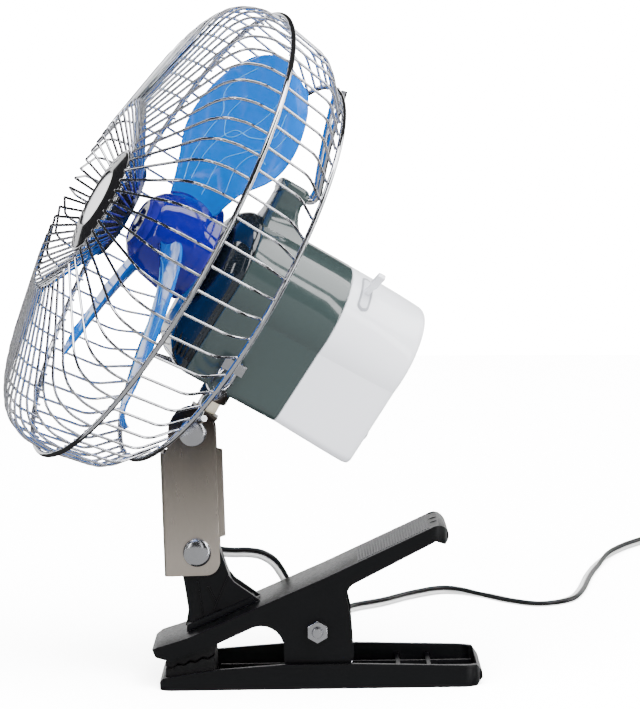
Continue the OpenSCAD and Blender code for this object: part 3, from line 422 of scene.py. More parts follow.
def soft(points, steps, cut_mm):
    """A lathe or outline profile with its corners rounded."""
    flat = fillet([(p[0], p[1], 0) for p in points], 0.45, steps, cut_mm)
    return [(p.x, p.y) for p in flat]


def prism(outline, y0, y1):
    """A side outline of (x, z) drawn out from y0 to y1."""
    n = len(outline)
    verts = [(x, y0, z) for x, z in outline] + [(x, y1, z) for x, z in outline]
    faces = [list(range(n)), list(range(n, 2 * n))[::-1]]
    faces += [(k, k + n, (k + 1) % n + n, (k + 1) % n) for k in range(n)]
    return verts, faces


def arc(cx, cy, r, a0, a1, n):
    """Points on a circle from a0 to a1 degrees, in n steps."""
    turns = [radians(a0 + (a1 - a0) * i / n) for i in range(n + 1)]
    return [(cx + r * cos(a), cy + r * sin(a)) for a in turns]


def joined(*parts):
    """Several (verts, faces) as one."""
    verts, faces = [], []
    for v, f in parts:
        base = len(verts)
        verts += list(v)
        faces += [[i + base for i in face] for face in f]
    return verts, faces


def moved(part, place):
    return [place @ Vector(v) for v in part[0]], part[1]


# Cord, first the part that hangs and then the part that lies on the ground
CORD_W = 4.4
STRAND = 2.2
FLOOR_Z = 1.2
HANGING = [(-47, 9.4, 68.5), (-47, 13, 68.3), (-47.6, 17, 65), (-47.4, 20, 59), (-45, 22, 53),
    (-41, 23.5, 49.4), (-35, 24.5, 48.4), (-29, 25.5, 48.2), (-23, 26.5, 47), (-18, 28, 43.6),
    (-14.5, 31, 38), (-11, 36, 30), (-7, 43, 20.5), (-2, 52, 11.5), (3, 63, 4.8), (7, 78, 1.8)]
LAID = [(9, 96), (9, 116), (10, 136), (16, 153), (30, 167), (44, 186), (60, 199), (77, 190), (90, 172),
    (103, 162), (117, 172), (125, 198), (134, 248), (145, 292), (158, 325), (171, 348), (181, 368),
    (184, 383), (184, 392)]
ROUTE = HANGING + [(x, y, FLOOR_Z) for x, y in LAID]
COIL_AT = (214, 396.4)
COIL_R = 30
COIL_TURNS = 7.5
SPIRAL = 2
TURN_STEP = CORD_W + 0.6
LAY_STEP = STRAND + 0.6
LOOP_RINGS = 32


def coil_point(u):
    """A place in the coil after u turns: two turns inwards, a climb, two turns outwards, and so on."""
    k = math.floor(u / SPIRAL + 0.5)
    climb = 1 if k == 0 else min(max((u - k * SPIRAL) / 0.5 + 0.5, 0), 1)
    v = u % (2 * SPIRAL)
    r = COIL_R - TURN_STEP * (v if v < SPIRAL else 2 * SPIRAL - v)
    return Vector((COIL_AT[0] - r * cos(TAU * u), COIL_AT[1] + r * sin(TAU * u),
        FLOOR_Z + LAY_STEP * (k - 1 + climb)))


coil = [coil_point(i / LOOP_RINGS) for i in range(int(COIL_TURNS * LOOP_RINGS) + 1)]
PLUG_D = 21
PLUG_LEN = 52
PLUG_AT = Vector((coil[-1].x, COIL_AT[1] - 40, PLUG_D / 2))
TAIL_YZ = ((COIL_AT[1] - CORD_W, coil[-1].z), (COIL_AT[1] - CORD_W - 6, coil[-1].z),
    (COIL_AT[1] - 20, PLUG_AT.z - 0.6), (PLUG_AT.y + 6, PLUG_AT.z), (PLUG_AT.y, PLUG_AT.z))
tail = [Vector((coil[-1].x, y, z)) for y, z in TAIL_YZ]


def smooth_line(points, gap):
    """A Catmull-Rom curve through all the points, with a point about every gap."""
    pts = [Vector(p) for p in points]
    ends = [pts[0] * 2 - pts[1]] + pts + [pts[-1] * 2 - pts[-2]]
    out = []
    for i in range(1, len(ends) - 2):
        p0, p1, p2, p3 = ends[i - 1:i + 3]
        steps = max(1, round((p2 - p1).length / gap))
        for k in range(steps):
            t = k / steps
            out.append(0.5 * ((2 * p1) + (p2 - p0) * t + (2 * p0 - 5 * p1 + 4 * p2 - p3) * t * t
                + (3 * p1 - p0 - 3 * p2 + p3) * t ** 3))
    return out + [pts[-1]]


# How far the flat cord is turned about itself at some places along it, in mm and degrees
TWIST = [(0, 0), (10, 0), (32, -84), (75, -84), (140, -78), (262, -76), (292, -8), (440, -8), (486, -78),
    (530, -78), (568, 0), (5000, 0)]


def twist_at(s):
    for (s0, a0), (s1, a1) in zip(TWIST, TWIST[1:]):
        if s <= s1:
            t = (s - s0) / (s1 - s0)
            return radians(a0 + (a1 - a0) * t * t * (3 - 2 * t))
    return 0


CORD_SIDES = 10
MERGE = 0.4
LIFT_START = 75
LIFT_SPAN = 60


def build_cord():
    """Two strands side by side, which lie flat or stand on edge where the cord is turned."""
    line = []
    for p in smooth_line(ROUTE, 2.2) + coil + tail:
        if not line or (p - line[-1]).length > MERGE:
            line.append(p)
    off = (CORD_W - STRAND) / 2
    verts, faces, marks = [], [], []
    for strand in (-1, 1):
        base = len(verts)
        run = 0
        for i, p in enumerate(line):
            t = (line[min(i + 1, len(line) - 1)] - line[max(i - 1, 0)]).normalized()
            run += (p - line[max(i - 1, 0)]).length
            u = Vector((0, 0, 1)).cross(t).normalized()
            v = t.cross(u)
            a = twist_at(run)
            lift = off * abs(sin(a)) * min(max((run - LIFT_START) / LIFT_SPAN, 0), 1)
            u, v = u * cos(a) + v * sin(a), v * cos(a) - u * sin(a)
            mid = p + u * (strand * off) + Vector((0, 0, lift))
            for k in range(CORD_SIDES):
                b = TAU * k / CORD_SIDES
                verts.append(mid + u * (STRAND / 2 * cos(b)) + v * (STRAND / 2 * sin(b)))
        faces += bands(len(line), CORD_SIDES, base) + end_caps(len(line), CORD_SIDES, base)
        marks += [strand > 0] * (len(faces) - len(marks))
    obj = piece("lead", (verts, faces), WORLD, "cord_vinyl", "base", ["cord", "cord_coil", "cord_tail"], 80)
    obj.data.materials.append(FINISH["cord_white"])
    for face, white in zip(obj.data.polygons, marks):
        face.material_index = 1 if white else 0
    length = sum((b - a).length for a, b in zip(line, line[1:]))
    return obj, line, length


def along_z(part):
    """Turns a part lathed about x so that it stands about z."""
    return moved(part, Matrix(((0, 0, 1, 0), (0, 1, 0, 0), (1, 0, 0, 0), (0, 0, 0, 1))))


PLUG = Matrix.Translation(PLUG_AT) @ turn("X", 90)
PLUG_NECK = 11
PLUG_BORE = 3.05


def build_plug():
    r = PLUG_D / 2
    cone = r - 1.6
    top = PLUG_NECK + PLUG_LEN - 3
    ribs = []
    for i in range(5):
        z = 17 + 3.2 * i
        ribs += [(z, r), (z + 0.5, r - 0.5), (z + 1.3, r - 0.5), (z + 1.8, r)]
    neck = [(0, 0), (0, 3.4)]
    for i in range(4):
        z = 1 + 1.8 * i
        more = 0.25 * i
        neck += [(z, 3.5 + more), (z + 0.4, 3.1 + more), (z + 1.1, 3.1 + more), (z + 1.4, 3.6 + more)]
    shape = neck + [(8.4, 4.8), (PLUG_NECK, r - 1.5), (13, r - 0.3), (14, r)] + ribs
    shape += [(PLUG_NECK + PLUG_LEN * 0.7, r), (PLUG_NECK + PLUG_LEN * 0.72, cone), (top, cone),
        (top + 3, cone - 2.4), (top + 3, PLUG_BORE), (top - 8, PLUG_BORE), (top - 8, 0)]
    body = piece("plug_shell", along_z(lathe(shape, 72)), PLUG, "plug_plastic", "base", ["plug_body"], 28)
    ring = lathe(soft([(top + 0.02, cone + 0.05), (top, cone + 0.6), (top + 2.2, cone + 0.5),
        (top + 2.9, cone - 1.9), (top + 2.6, cone - 2.0)], 3, 0.25), 72, closed=True)
    ring = piece("plug_collar", along_z(ring), PLUG, "plug_metal", "base", ["plug_ring"], 40)
    z = top - 2
    tip = lathe(soft([(z, 0), (z, 3), (z + 8, 3), (z + 8.1, 2.2), (z + 9.2, 2), (z + 9.2, 0)], 4, 0.5), 48)
    tip = piece("plug_pin_tip", along_z(tip), PLUG, "plug_metal", "plug_pin", ["plug_tip"], 40)
    mid = PLUG_NECK + PLUG_LEN * 0.55
    leaf = ((2.7, -5.8), (1.4, -4.4), (1.1, 0), (1.4, 4.4), (2.7, 5.8), (2.7, 4.4), (2.6, -4.4))
    pair = [prism([(s * (r - inset), mid + up) for inset, up in leaf], -2, 2) for s in (-1, 1)]
    leaves = new_object("plug_springs", *joined(*pair), PLUG)
    rounded_edges(leaves, 0.25, 2)
    dress(leaves, "plug_metal", "base", ["plug_contacts"], 40)
    return [body, ring, tip, leaves]


lead, lead_line, lead_length = build_cord()
plug_pieces = build_plug()


# Guard
TOUCH = 0.04
RIM_X = -53.3
RIM_R = 99.8
RING_D = 2.2
WIRE_D = 1.2
HOOP_X = RIM_X + 32.8
HOOP_R = 85
WIRES = 60
WIRE_IN = (WIRE_D + RING_D) / 2 + TOUCH
SHOULDER = RIM_R - 4.8
CREST = 32.7
CREST_R = 42.5
BADGE_R = 23
FRONT_LINE = [(1.5, RIM_R - WIRE_IN), (-9, RIM_R - WIRE_IN - 0.3), (-16.6, SHOULDER - 1),
    (-20.8, SHOULDER - 8), (-CREST + 0.6, CREST_R + 2.4), (-CREST, CREST_R),
    (-CREST + 1.6, CREST_R - 2), (-20, BADGE_R - 3 + WIRE_D * 0.42 + TOUCH)]
REAR_LINE = [(-0.5, RIM_R - WIRE_IN), (20, RIM_R - WIRE_IN - 3.4), (23.2, RIM_R - WIRE_IN - 5.4),
    (33.2 - WIRE_IN * 0.71, HOOP_R - 0.4 - WIRE_IN * 0.71)]


def chrome(name, part, *nodes):
    """A chromed piece of the guard."""
    piece(name, part, FAN, "guard_chrome", "head", nodes, 60)


def guard_wires(line, offset, steps):
    flat = fillet([(x, r, 0) for x, r in line], 0.48, steps, 3.2)
    paths = []
    for i in range(WIRES):
        a = radians(360 / WIRES * i + offset)
        paths.append([Vector((RIM_X + p.x, p.y * cos(a), p.y * sin(a))) for p in flat])
    return tube(paths, WIRE_D / 2, 8, (1, 0.01, 0.02))


chrome("front_wires", guard_wires(FRONT_LINE, 0, 5), "guard_front")
chrome("rear_wires", guard_wires(REAR_LINE, 180 / WIRES, 4), "guard_rear")
chrome("main_rim", hoop(RIM_X, RIM_R, RING_D / 2, 160), "guard_rim")
chrome("rear_ring", hoop(HOOP_X, HOOP_R, RING_D / 2, 144), "rear_hoop")

# Badge: a sloping black gloss ring round a plain white disc
BADGE_X = RIM_X - 28.1
DISC_R = 11.8
DOME_R = 11.6
ring_profile = [(2.4, 11.9), (-1.1, 11.9), (-1.4, 12.6), (-1.2, 13.6), (0.4, 21.2), (1.3, BADGE_R - 0.2),
    (2.4, BADGE_R - 0.4)]
ring_profile = soft([(BADGE_X + x, r) for x, r in ring_profile], 4, 0.5)
piece("badge_bezel", lathe(ring_profile, 96, closed=True), FAN, "badge_chrome", "head", ["badge_ring"], 32)
chrome("badge_edge", hoop(BADGE_X + 1.25, BADGE_R - 0.85, 0.8, 96, 14))
disc_profile = [(BADGE_X + 2.4, 0), (BADGE_X + 2.4, DISC_R), (BADGE_X - 0.6, DISC_R)]
for r in (DOME_R, 11.2, 10.4, 9, 7, 4.5, 2):
    disc_profile.append((BADGE_X - 0.6 - 0.6 * math.sqrt(max(1 - (r / DOME_R) ** 2, 0)), r))
disc_profile.append((BADGE_X - 1.2, 0))
piece("badge_dome", lathe(disc_profile, 80), FAN, "badge_face", "head", ["badge_disc"], 40)
cup_profile = [(2.42, 0.01), (2.42, BADGE_R - 3), (10.4, BADGE_R - 3), (10.4, BADGE_R - 4.2),
    (3.9, BADGE_R - 4.2), (3.9, 0.01)]
cup_profile = soft([(BADGE_X + x, r) for x, r in cup_profile], 3, 0.5)
piece("badge_back", lathe(cup_profile, 72), FAN, "badge_cup", "head", ["badge_cup"], 32)

# Fan
BODY_X0 = -20.6
BODY_X1 = BODY_X0 + 43
BELL_X0 = BODY_X0 - 10.4
COVER_X1 = BODY_X1 + 36.5
HUB_X = BELL_X0 - 4
HUB_R = 20.4
HUB_LEN = 28
NOSE = -HUB_LEN
hub_shape = [(0, HUB_R - 1.6), (0, HUB_R), (-7, HUB_R), (NOSE + 10, HUB_R - 2.4), (NOSE + 4, HUB_R - 5.4),
    (NOSE + 1.2, HUB_R - 8.4), (NOSE, 9.5), (NOSE, 5), (NOSE + 4, 4.6), (NOSE + 4, 2.05),
    (NOSE + 6, 2.05), (NOSE + 6, HUB_R - 8.5), (NOSE + 10, HUB_R - 4.4), (-7, HUB_R - 1.6)]
hub_profile = [(HUB_X + x, r) for x, r in soft(hub_shape, 4, 1.4)]


def on_hub_edge(at):
    """True for the hub's back edge and the rim of its nose."""
    along = at.x - HUB_X
    return along > -1.8 or (along < NOSE + 2.6 and math.hypot(at.y, at.z) > 8)


hub = piece("hub_shell", lathe(hub_profile, 96, closed=True), FAN, "hub_plastic", "fan", ["hub"], 30)
second_finish(hub, "hub_edge", FAN, on_hub_edge)
collar = [(0.1, 8.2), (-0.35, 8.5), (-0.35, 9.6), (0.6, 10.6), (0.9, 9)]
collar = lathe(soft([(HUB_X + NOSE + x, r) for x, r in collar], 3, 0.3), 80, closed=True)
piece("hub_front_ring", collar, FAN, "hub_edge", "fan", angle=40)

BLADE_R = 85
BLADE_ROOT = HUB_R - 5.4
BLADE_MID = HUB_X - HUB_LEN * 0.44
BLADE_HALF = 12
BLADE_T = 1.6
BLADE_PHASE = 93
BLADE_TURNS = (0, 129, 241)
FORE_SWEEP = (37, 17)
REAR_SWEEP = (30, 19)
REAR_LIFT = 12.5
LIFT_FROM = 0.33
SLANT = radians(18)
EDGE_FROM_R = 42


def blade_point(q, s, off):
    """A blade's place q of the way out, s from front edge (-1) to rear edge (1), off its middle sheet."""
    r = BLADE_ROOT + (BLADE_R - BLADE_ROOT) * q - 3 * s * s * q * q
    narrow = math.sqrt(1 - 0.9 * (max(q - 0.5, 0) / 0.5) ** 2)
    f = s * narrow
    wide = REAR_SWEEP if s > 0 else FORE_SWEEP
    lift = REAR_LIFT * s * s * max(q - LIFT_FROM, 0) if s > 0 else 0
    a = radians(BLADE_PHASE + f * (wide[0] + wide[1] * q)) + off * sin(SLANT) / r
    x = BLADE_MID + BLADE_HALF * f * (0.6 + 0.4 * q) - off * cos(SLANT)
    x += 1.6 * (1 - s * s) * (q + 0.3) + lift
    return Vector((x, r * cos(a), r * sin(a)))


def hub_radius(x):
    """The hub's outer radius at a place along the axis."""
    pts = [(HUB_X + a, b) for a, b in hub_shape[1:7]]
    for (x0, r0), (x1, r1) in zip(pts, pts[1:]):
        if x1 <= x <= x0:
            return r0 + (r1 - r0) * (x0 - x) / (x0 - x1)
    return HUB_R if x > pts[0][0] else 0


def on_pale_edge(at):
    """True for the strip along a blade's rear edge."""
    r = math.hypot(at.y, at.z)
    a = (math.degrees(math.atan2(at.z, at.y)) - BLADE_PHASE + 360) % 360
    return r > EDGE_FROM_R and REAR_SWEEP[0] + 8 - 0.006 * (r - 60) ** 2 < a < 180


def build_blade(number, place):
    rows, cols = 26, 22
    grid = {}
    verts = []
    for side in (-1, 1):
        for i in range(rows + 1):
            for j in range(cols + 1):
                q, s = i / rows, -1 + 2 * j / cols
                thin = BLADE_T / 2 * (1 - 0.45 * max(abs(s) ** 6, q ** 8))
                p = blade_point(q, s, side * thin)
                need = hub_radius(p.x) - 0.15 + 0.2 * i
                rad = math.hypot(p.y, p.z)
                if i == 0 or rad < need:
                    p = Vector((p.x, p.y * need / rad, p.z * need / rad))
                grid[side, i, j] = len(verts)
                verts.append(p)
    faces = []
    for side in (-1, 1):
        for i in range(rows):
            for j in range(cols):
                corners = ((i, j), (i, j + 1), (i + 1, j + 1), (i + 1, j))
                faces.append([grid[side, a, b] for a, b in corners])
    edge = [(0, j) for j in range(cols + 1)] + [(i, cols) for i in range(1, rows + 1)]
    edge += [(rows, j) for j in range(cols - 1, -1, -1)] + [(i, 0) for i in range(rows - 1, 0, -1)]
    for (i0, j0), (i1, j1) in zip(edge, edge[1:] + edge[:1]):
        faces.append((grid[-1, i0, j0], grid[1, i0, j0], grid[1, i1, j1], grid[-1, i1, j1]))
    obj = new_object(f"blade_sheet_{number}", verts, faces, place)
    rounded_edges(obj, 0.3, 2, 50)
    dress(obj, "blade_plastic", "fan", [f"blade_{number}"], 50)
    second_finish(obj, "blade_edge", place, on_pale_edge)


def build_root(number, place):
    """The boss on the hub that a blade grows out of."""
    cols = 14
    rows = []
    for side in (-1, 1):
        for q, thick in ((-0.03, 1.7), (0.05, 1.7), (0.062, 1.1)):
            rows.append([blade_point(q, -0.92 + 1.84 * j / cols, side * thick) for j in range(cols + 1)])
    verts = [v for row in rows for v in row]
    w = cols + 1
    faces = []
    for a, b in ((0, 1), (1, 2), (2, 5), (5, 4), (4, 3)):
        faces += [(a * w + j, a * w + j + 1, b * w + j + 1, b * w + j) for j in range(cols)]
    for j in (0, cols):
        faces.append([k * w + j for k in (0, 1, 2, 5, 4, 3)])
    piece(f"blade_boss_{number}", (verts, faces), place, "hub_plastic", "fan", angle=40)


# Thin moulded lines that run across a blade's front, as (way out, way across)
FLOW = [[(0.16, -0.5), (0.34, -0.42), (0.5, -0.1), (0.55, 0.3), (0.7, 0.62), (0.84, 0.6)],
    [(0.1, 0.1), (0.3, 0.02), (0.45, 0.35), (0.66, 0.7), (0.8, 0.78)],
    [(0.9, -0.35), (0.78, -0.62), (0.6, -0.45), (0.5, -0.55), (0.3, -0.72), (0.14, -0.7)],
    [(0.72, -0.2), (0.58, -0.34), (0.46, -0.2), (0.5, 0.06), (0.68, 0.3), (0.92, 0.42)],
    [(0.24, 0.72), (0.36, 0.5), (0.52, 0.56), (0.6, 0.8)]]
FLOW_WIRE = 0.16


def build_flow(number, place):
    paths = []
    for course in FLOW:
        line = smooth_line([(q * 60, v * 30, 0) for q, v in course], 1.5)
        paths.append([blade_point(p.x / 60, p.y / 30, BLADE_T / 2 * 0.98) for p in line])
    lines = tube(paths, FLOW_WIRE, 6, (1, 0.1, 0.2))
    piece(f"flow_lines_{number}", lines, place, "flow_line", "fan", angle=60)


for k, spin in enumerate(BLADE_TURNS):
    for build in (build_blade, build_root, build_flow):
        build(k + 1, FAN @ turn("X", spin))

# Motor housing
SHELL_R = 26.2
FOOT = 19.5
DROP = 43
WALL = 1.8
FOOT_CORNER = 4
TOP_STEPS = 72
FLOOR_H = FAN_H - DROP


def quarters(a, b):
    """The three points at a quarter, half and three quarters of the way from a to b."""
    return [(a[0] + (b[0] - a[0]) * t, a[1] + (b[1] - a[1]) * t) for t in (0.25, 0.5, 0.75)]


def section(x, inset, lift):
    """One closed outline of the housing: a round top on sides that draw in to the foot."""
    r, f, b, c = SHELL_R - inset, FOOT - inset * 0.7, -DROP + inset + lift, FOOT_CORNER
    top = arc(0, 0, r, -22, 202, TOP_STEPS)
    left = arc(-f + c, b + c, c, 184, 270, 8)
    right = arc(f - c, b + c, c, 270, 356, 8)
    loop = top + quarters(top[-1], left[0]) + left + quarters(left[-1], right[0]) + right
    loop += quarters(right[-1], top[0])
    return [(x, y, h) for y, h in loop]


def curve_value(table, x):
    """Smooth value between the rows of a table of (x, value...)."""
    for i, (a, b) in enumerate(zip(table, table[1:])):
        if x <= b[0] or i == len(table) - 2:
            t = (x - a[0]) / (b[0] - a[0])
            before = table[max(i - 1, 0)]
            after = table[min(i + 2, len(table) - 1)]
            out = []
            for k in range(1, len(a)):
                m0 = (b[k] - before[k]) / max(b[0] - before[0], 1e-6) * (b[0] - a[0])
                m1 = (after[k] - a[k]) / max(after[0] - a[0], 1e-6) * (b[0] - a[0])
                out.append((2 * t ** 3 - 3 * t * t + 1) * a[k] + (t ** 3 - 2 * t * t + t) * m0
                    + (-2 * t ** 3 + 3 * t * t) * b[k] + (t ** 3 - t * t) * m1)
            return out


def skin(rings, close_start=False, close_end=False):
    """Rings of points joined to a skin, open or closed at its ends."""
    n = len(rings[0])
    verts = [v for r in rings for v in r]
    start, end = end_caps(len(rings), n)
    faces = bands(len(rings), n)
    if close_start:
        faces.append(start)
    if close_end:
        faces.append(end)
    return verts, faces


def crease(obj, count):
    """Keeps the two lines sharp where the round top meets the flat sides."""
    for e in obj.data.edges:
        a, b = e.vertices
        if a % count == b % count and a % count in (0, TOP_STEPS) and a != b:
            e.use_edge_sharp = True


def ring_circle(like, x, r):
    """A circle with as many points as an outline, each in its own direction."""
    out = []
    for _, y, h in like:
        d = math.hypot(y, h)
        out.append((x, y / d * r, h / d * r))
    return out


def build_body():
    rings = [section(BODY_X0 + x, inset, 0) for x, inset in ((0.02, 0.75), (0.12, 0.35), (0.5, 0.05), (1, 0))]
    rings += [section(BODY_X0 + 1 + 41.2 * i / 6, 0, 0) for i in range(1, 7)]
    lip = ((0.35, 0.06), (0.05, 0.4), (0.02, WALL), (3, WALL))
    rings += [section(BODY_X1 - x, inset, 0) for x, inset in lip]
    body = piece("motor_shell", skin(rings), FAN, "housing_plastic", "head", ["motor_body"], 30)
    crease(body, len(rings[0]))
    socket = soft([(15, 4.4), (15, 5.5), (15.6, 6.15), (FLOOR_H + 0.6, 6.15), (FLOOR_H + 0.6, 4.4)], 3, 0.5)
    socket = along_z(lathe(socket, 48, closed=True))
    piece("neck_socket", socket, HEAD, "knuckle_steel", "head", angle=40)


# The bell's and the cover's outlines along the fan's axis, as (x, inset, lift)
BELL_TABLE = [(BELL_X0, 10, 1.5), (BELL_X0 + 1.2, 6.6, 1.6), (BELL_X0 + 3, 3.8, 1.4),
    (BELL_X0 + 5.4, 1.7, 0.9), (BELL_X0 + 8, 0.4, 0.4), (BODY_X0 - 0.02, 0.3, 0.2)]
COVER_TABLE = [(BODY_X1 + 0.02, 0.1, 0), (BODY_X1 + 22, 0.4, -1.4), (COVER_X1 - 3, 0.95, -2.4),
    (COVER_X1 - 1.4, 1.2, -2.5), (COVER_X1 - 0.5, 1.7, -2.75), (COVER_X1 - 0.1, 2.3, -3),
    (COVER_X1, 3.2, -3.3)]
BELL_STEPS = 16


def build_bell():
    first = section(BELL_X0, 10, 1.5)
    rings = [ring_circle(first, BELL_X0 + x, r) for x, r in ((3, 6), (0.2, 6), (0, 6.6))] + [first]
    for i in range(1, BELL_STEPS + 1):
        x = BELL_X0 + (BODY_X0 - 0.5 - BELL_X0) * (i / BELL_STEPS) ** 1.5
        inset, lift = curve_value(BELL_TABLE, x)
        rings.append(section(x, max(inset, 0.02), lift))
    for x, inset, lift in ((0.25, 0.35, 0.2), (0.1, 0.7, 0.2), (0.1, 2.2, 0.2), (4, 4, 0.8)):
        rings.append(section(BODY_X0 - x, inset, lift))
    piece("bell_shell", skin(rings), FAN, "bell_plastic", "head", ["front_bell"], 32)
    # The vents are near-black slabs set into the shell: painted shade where the openings are.
    outline = arc(0, 4.1, 0.45, 0, 180, 6) + arc(0, -4.1, 0.45, 180, 360, 6)
    vent = prism(outline, -0.55, 0.55)
    vents = []
    for s in (-1, 1):
        for i in range(5):
            x = BELL_X0 + 2.6 + 1.7 * i
            half = FOOT - curve_value(BELL_TABLE, x)[0] * 0.7 + 0.9
            vents.append(moved(vent, shift(x, s * (half - 0.42), -33.4) @ turn("X", s * 8)))
    piece("bell_vents_painted_shade", joined(*vents), FAN, "void", "head", angle=40)


def build_cover():
    start = ((3, WALL + 0.4), (0.06, WALL), (0.06, 0.5), (0.3, 0.14))
    rings = [section(BODY_X1 + x, inset, 0) for x, inset in start]
    for i in range(1, 12):
        x = BODY_X1 + 0.3 + (36.5 - 3.3) * i / 11
        rings.append(section(x, *curve_value(COVER_TABLE, x)))
    for back in (2.2, 1.5, 1, 0.6, 0.35, 0.15, 0.04, 0):
        rings.append(section(COVER_X1 - back, *curve_value(COVER_TABLE, COVER_X1 - back)))
    for share in (0.75, 0.5, 0.25):
        rings.append([(COVER_X1, y * share, h * share - 2 * (1 - share)) for _, y, h in rings[-1]])
    cover = skin(rings, close_end=True)
    cover = piece("cover_shell", cover, FAN, "cover_plastic", "head", ["rear_cover"], 32)
    crease(cover, len(rings[0]))


build_body()
build_bell()
build_cover()

# Speed lever in its slot
SLOT_X = BODY_X1 + 7
LEVER_A = 128


def slot_strip(x_mid, half, a0, a1, r_out, r_in, steps=28, cols=8):
    """A rounded strip of quads that follows the shell between two angles."""
    verts = []
    for i in range(steps + 1):
        a = radians(a0 + (a1 - a0) * i / steps)
        reach = min(i, steps - i) / steps * (a1 - a0)
        end = math.degrees(half / r_out)
        w = half * math.sqrt(max(1 - max(1 - reach / end, 0) ** 2, 0.0004))
        for j in range(cols + 1):
            t = -1 + 2 * j / cols
            r = r_in if abs(t) < 0.99 else r_out
            verts.append((x_mid + w * t, r * cos(a), r * sin(a)))
    n = cols + 1
    faces = [(i * n + j, i * n + j + 1, (i + 1) * n + j + 1, (i + 1) * n + j)
        for i in range(steps) for j in range(cols)]
    return verts, faces


# The slot is painted on the shell as painted shade: a darker grey band round its edge and a lighter grey
# where the gap is.
rim_shade_strip = slot_strip(SLOT_X, 2.6, LEVER_A - 21, LEVER_A + 21, SHELL_R + 0.1, SHELL_R + 0.06)
piece("slot_rim_painted_shade", rim_shade_strip, FAN, "slot_grey", "head", angle=80)
gap = slot_strip(SLOT_X, 1.7, LEVER_A - 18, LEVER_A + 18, SHELL_R + 0.14, SHELL_R + 0.12)
piece("slot_gap_painted_shade", gap, FAN, "slot_pale", "head", angle=80)
lever_side = [(-1.1, 20), (1.1, 20), (1.1, 30), (1.7, 31), (1.7, 38.1), (-1.6, 38.1), (-1.6, 31), (-1.1, 30)]
lever_part = moved(prism(soft(lever_side, 4, 0.7), -1.2, 1.2), shift(SLOT_X, 0, 0))
lever = new_object("lever_tab", *lever_part, FAN @ turn("X", LEVER_A - 90))
rounded_edges(lever, 0.35, 3, 50)
dress(lever, "cover_plastic", "lever", ["speed_lever"], 40)

# Stays
ARM_X = -14.2
ARM_TOP = 44
STAY_D = 2.6
STAY_SIDE = 22.9
STAY_FAR = HOOP_X + RING_D / 2 + STAY_D / 2 + TOUCH


def box_ring(x0, x1, half, h, r=2.2, n=5):
    """A box outline with round corners, at a height."""
    corners = ((x1 - r, half - r), (x0 + r, half - r), (x0 + r, -half + r), (x1 - r, -half + r))
    return [(x, y, h) for k, at in enumerate(corners) for x, y in arc(*at, r, 90 * k, 90 * k + 90, n)]


def on_hoop(side, out, degrees):
    """A place on the back of the rear hoop."""
    a = radians(degrees)
    return STAY_FAR, side * (HOOP_R + out) * cos(a), (HOOP_R + out) * sin(a)


# The stay arm's outlines from the shell upwards, as (front, back, half width, height)
ARM_STEPS = ((-20.5, 2, 11.5, 23.2), (-20.5, -1.5, 9.6, 25.6), (-20.4, -4.2, 8, 27.8),
    (-20.3, -6.4, 6.9, 30.5), (-20.2, -7.9, 6.2, 33.5), (-20.2, -8.6, 6, 36.5),
    (-20.2, -8.6, 6, 42.2), (-20, -8.8, 5.8, 43.3), (-19.2, -9.6, 5, 44))
arm_skin = skin([box_ring(*step) for step in ARM_STEPS], True, True)
piece("stay_column", arm_skin, FAN, "housing_plastic", "head", ["stay_arm"], 40)
roll = lathe(soft([(-20.6, 0.01), (-20.6, 5.2), (-8.2, 5.2), (-8.2, 0.01)], 3, 0.6), 40)
roll = [(x, y * 1.15, h * 0.62) for x, y, h in roll[0]], roll[1]
roll = moved(roll, shift(0, 0, 40.6))
piece("stay_cap", roll, FAN, "housing_plastic", "head", angle=40)

# One upper stay, and the lower ones: out of their clamp, round two bends and along the hoop
TOP_STAY = ((ARM_X - 5, 3, ARM_TOP - 4), (ARM_X + 6.6, 3, ARM_TOP - 4), (ARM_X + 9, 3, ARM_TOP - 2.6),
    (ARM_X + 9.4, 3.2, ARM_TOP + 1), (HOOP_X + RING_D + 6.4, 4.6, 64), (STAY_FAR, 7, HOOP_R + 1))
LOW_STAYS = ((-3, -30, -38, (-5, 24.9, -42.5), (-12, 35, -46), (-1, -38.2), (2.1, -34.2)),
    (-8, -28, -33, (-10, 24.9, -37), (-14, 36, -40), (-2.6, -29), (0.9, -24.8)))
top_paths, low_paths = [], []
for s in (-1, 1):
    top_paths.append(fillet([(x, s * y, z) for x, y, z in TOP_STAY], 0.45, 6))
    for at_x, z0, z1, first, second, near, far in LOW_STAYS:
        bends = [(at_x, STAY_SIDE, z0), (at_x, STAY_SIDE, z1), first, second]
        bends = [(x, s * y, z) for x, y, z in bends]
        low_paths.append(fillet(bends + [on_hoop(s, *near), on_hoop(s, *far)], 0.45, 6))
chrome("top_stay_rods", tube(top_paths, STAY_D / 2, 14, (0, 1, 0.1)), "top_stay")
chrome("low_stay_rods", tube(low_paths, STAY_D / 2, 14, (1, 0.2, 0.1)), "lower_stays")
from_cad("stay_clamp", 0.5, 3, finish="bright_steel")

# Bracket
FLANGE_W = 22.8
FLANGE_LEFT = 13.6
OUT = 7.2
IN = 6.0
THICK = OUT - IN
EYE = 19.5 / 2
FOOT_DROP = 9.6
CUT_H = ARM_LEN - 8
BEND = 2.2
CORNER = 5.7


def flange(lip, y0, y1):
    """One flange without its wall along the bend, which the web strip shares."""
    right = FLANGE_W - FLANGE_LEFT
    x0 = -FLANGE_LEFT + BEND
    outline = [(x0, -FOOT_DROP)] + arc(right - CORNER, -FOOT_DROP + CORNER, CORNER, -90, 0, 10)
    outline += [(right, 4), (right + lip, 4.6), (right + lip, 40.4), (right, 41)]
    outline += arc(right - EYE, ARM_LEN, EYE, 0, 160, 32) + [(-FLANGE_LEFT + 2.9, CUT_H + 1.6), (x0, CUT_H)]
    verts, faces = prism(outline, y0, y1)
    return verts, faces[:-1]


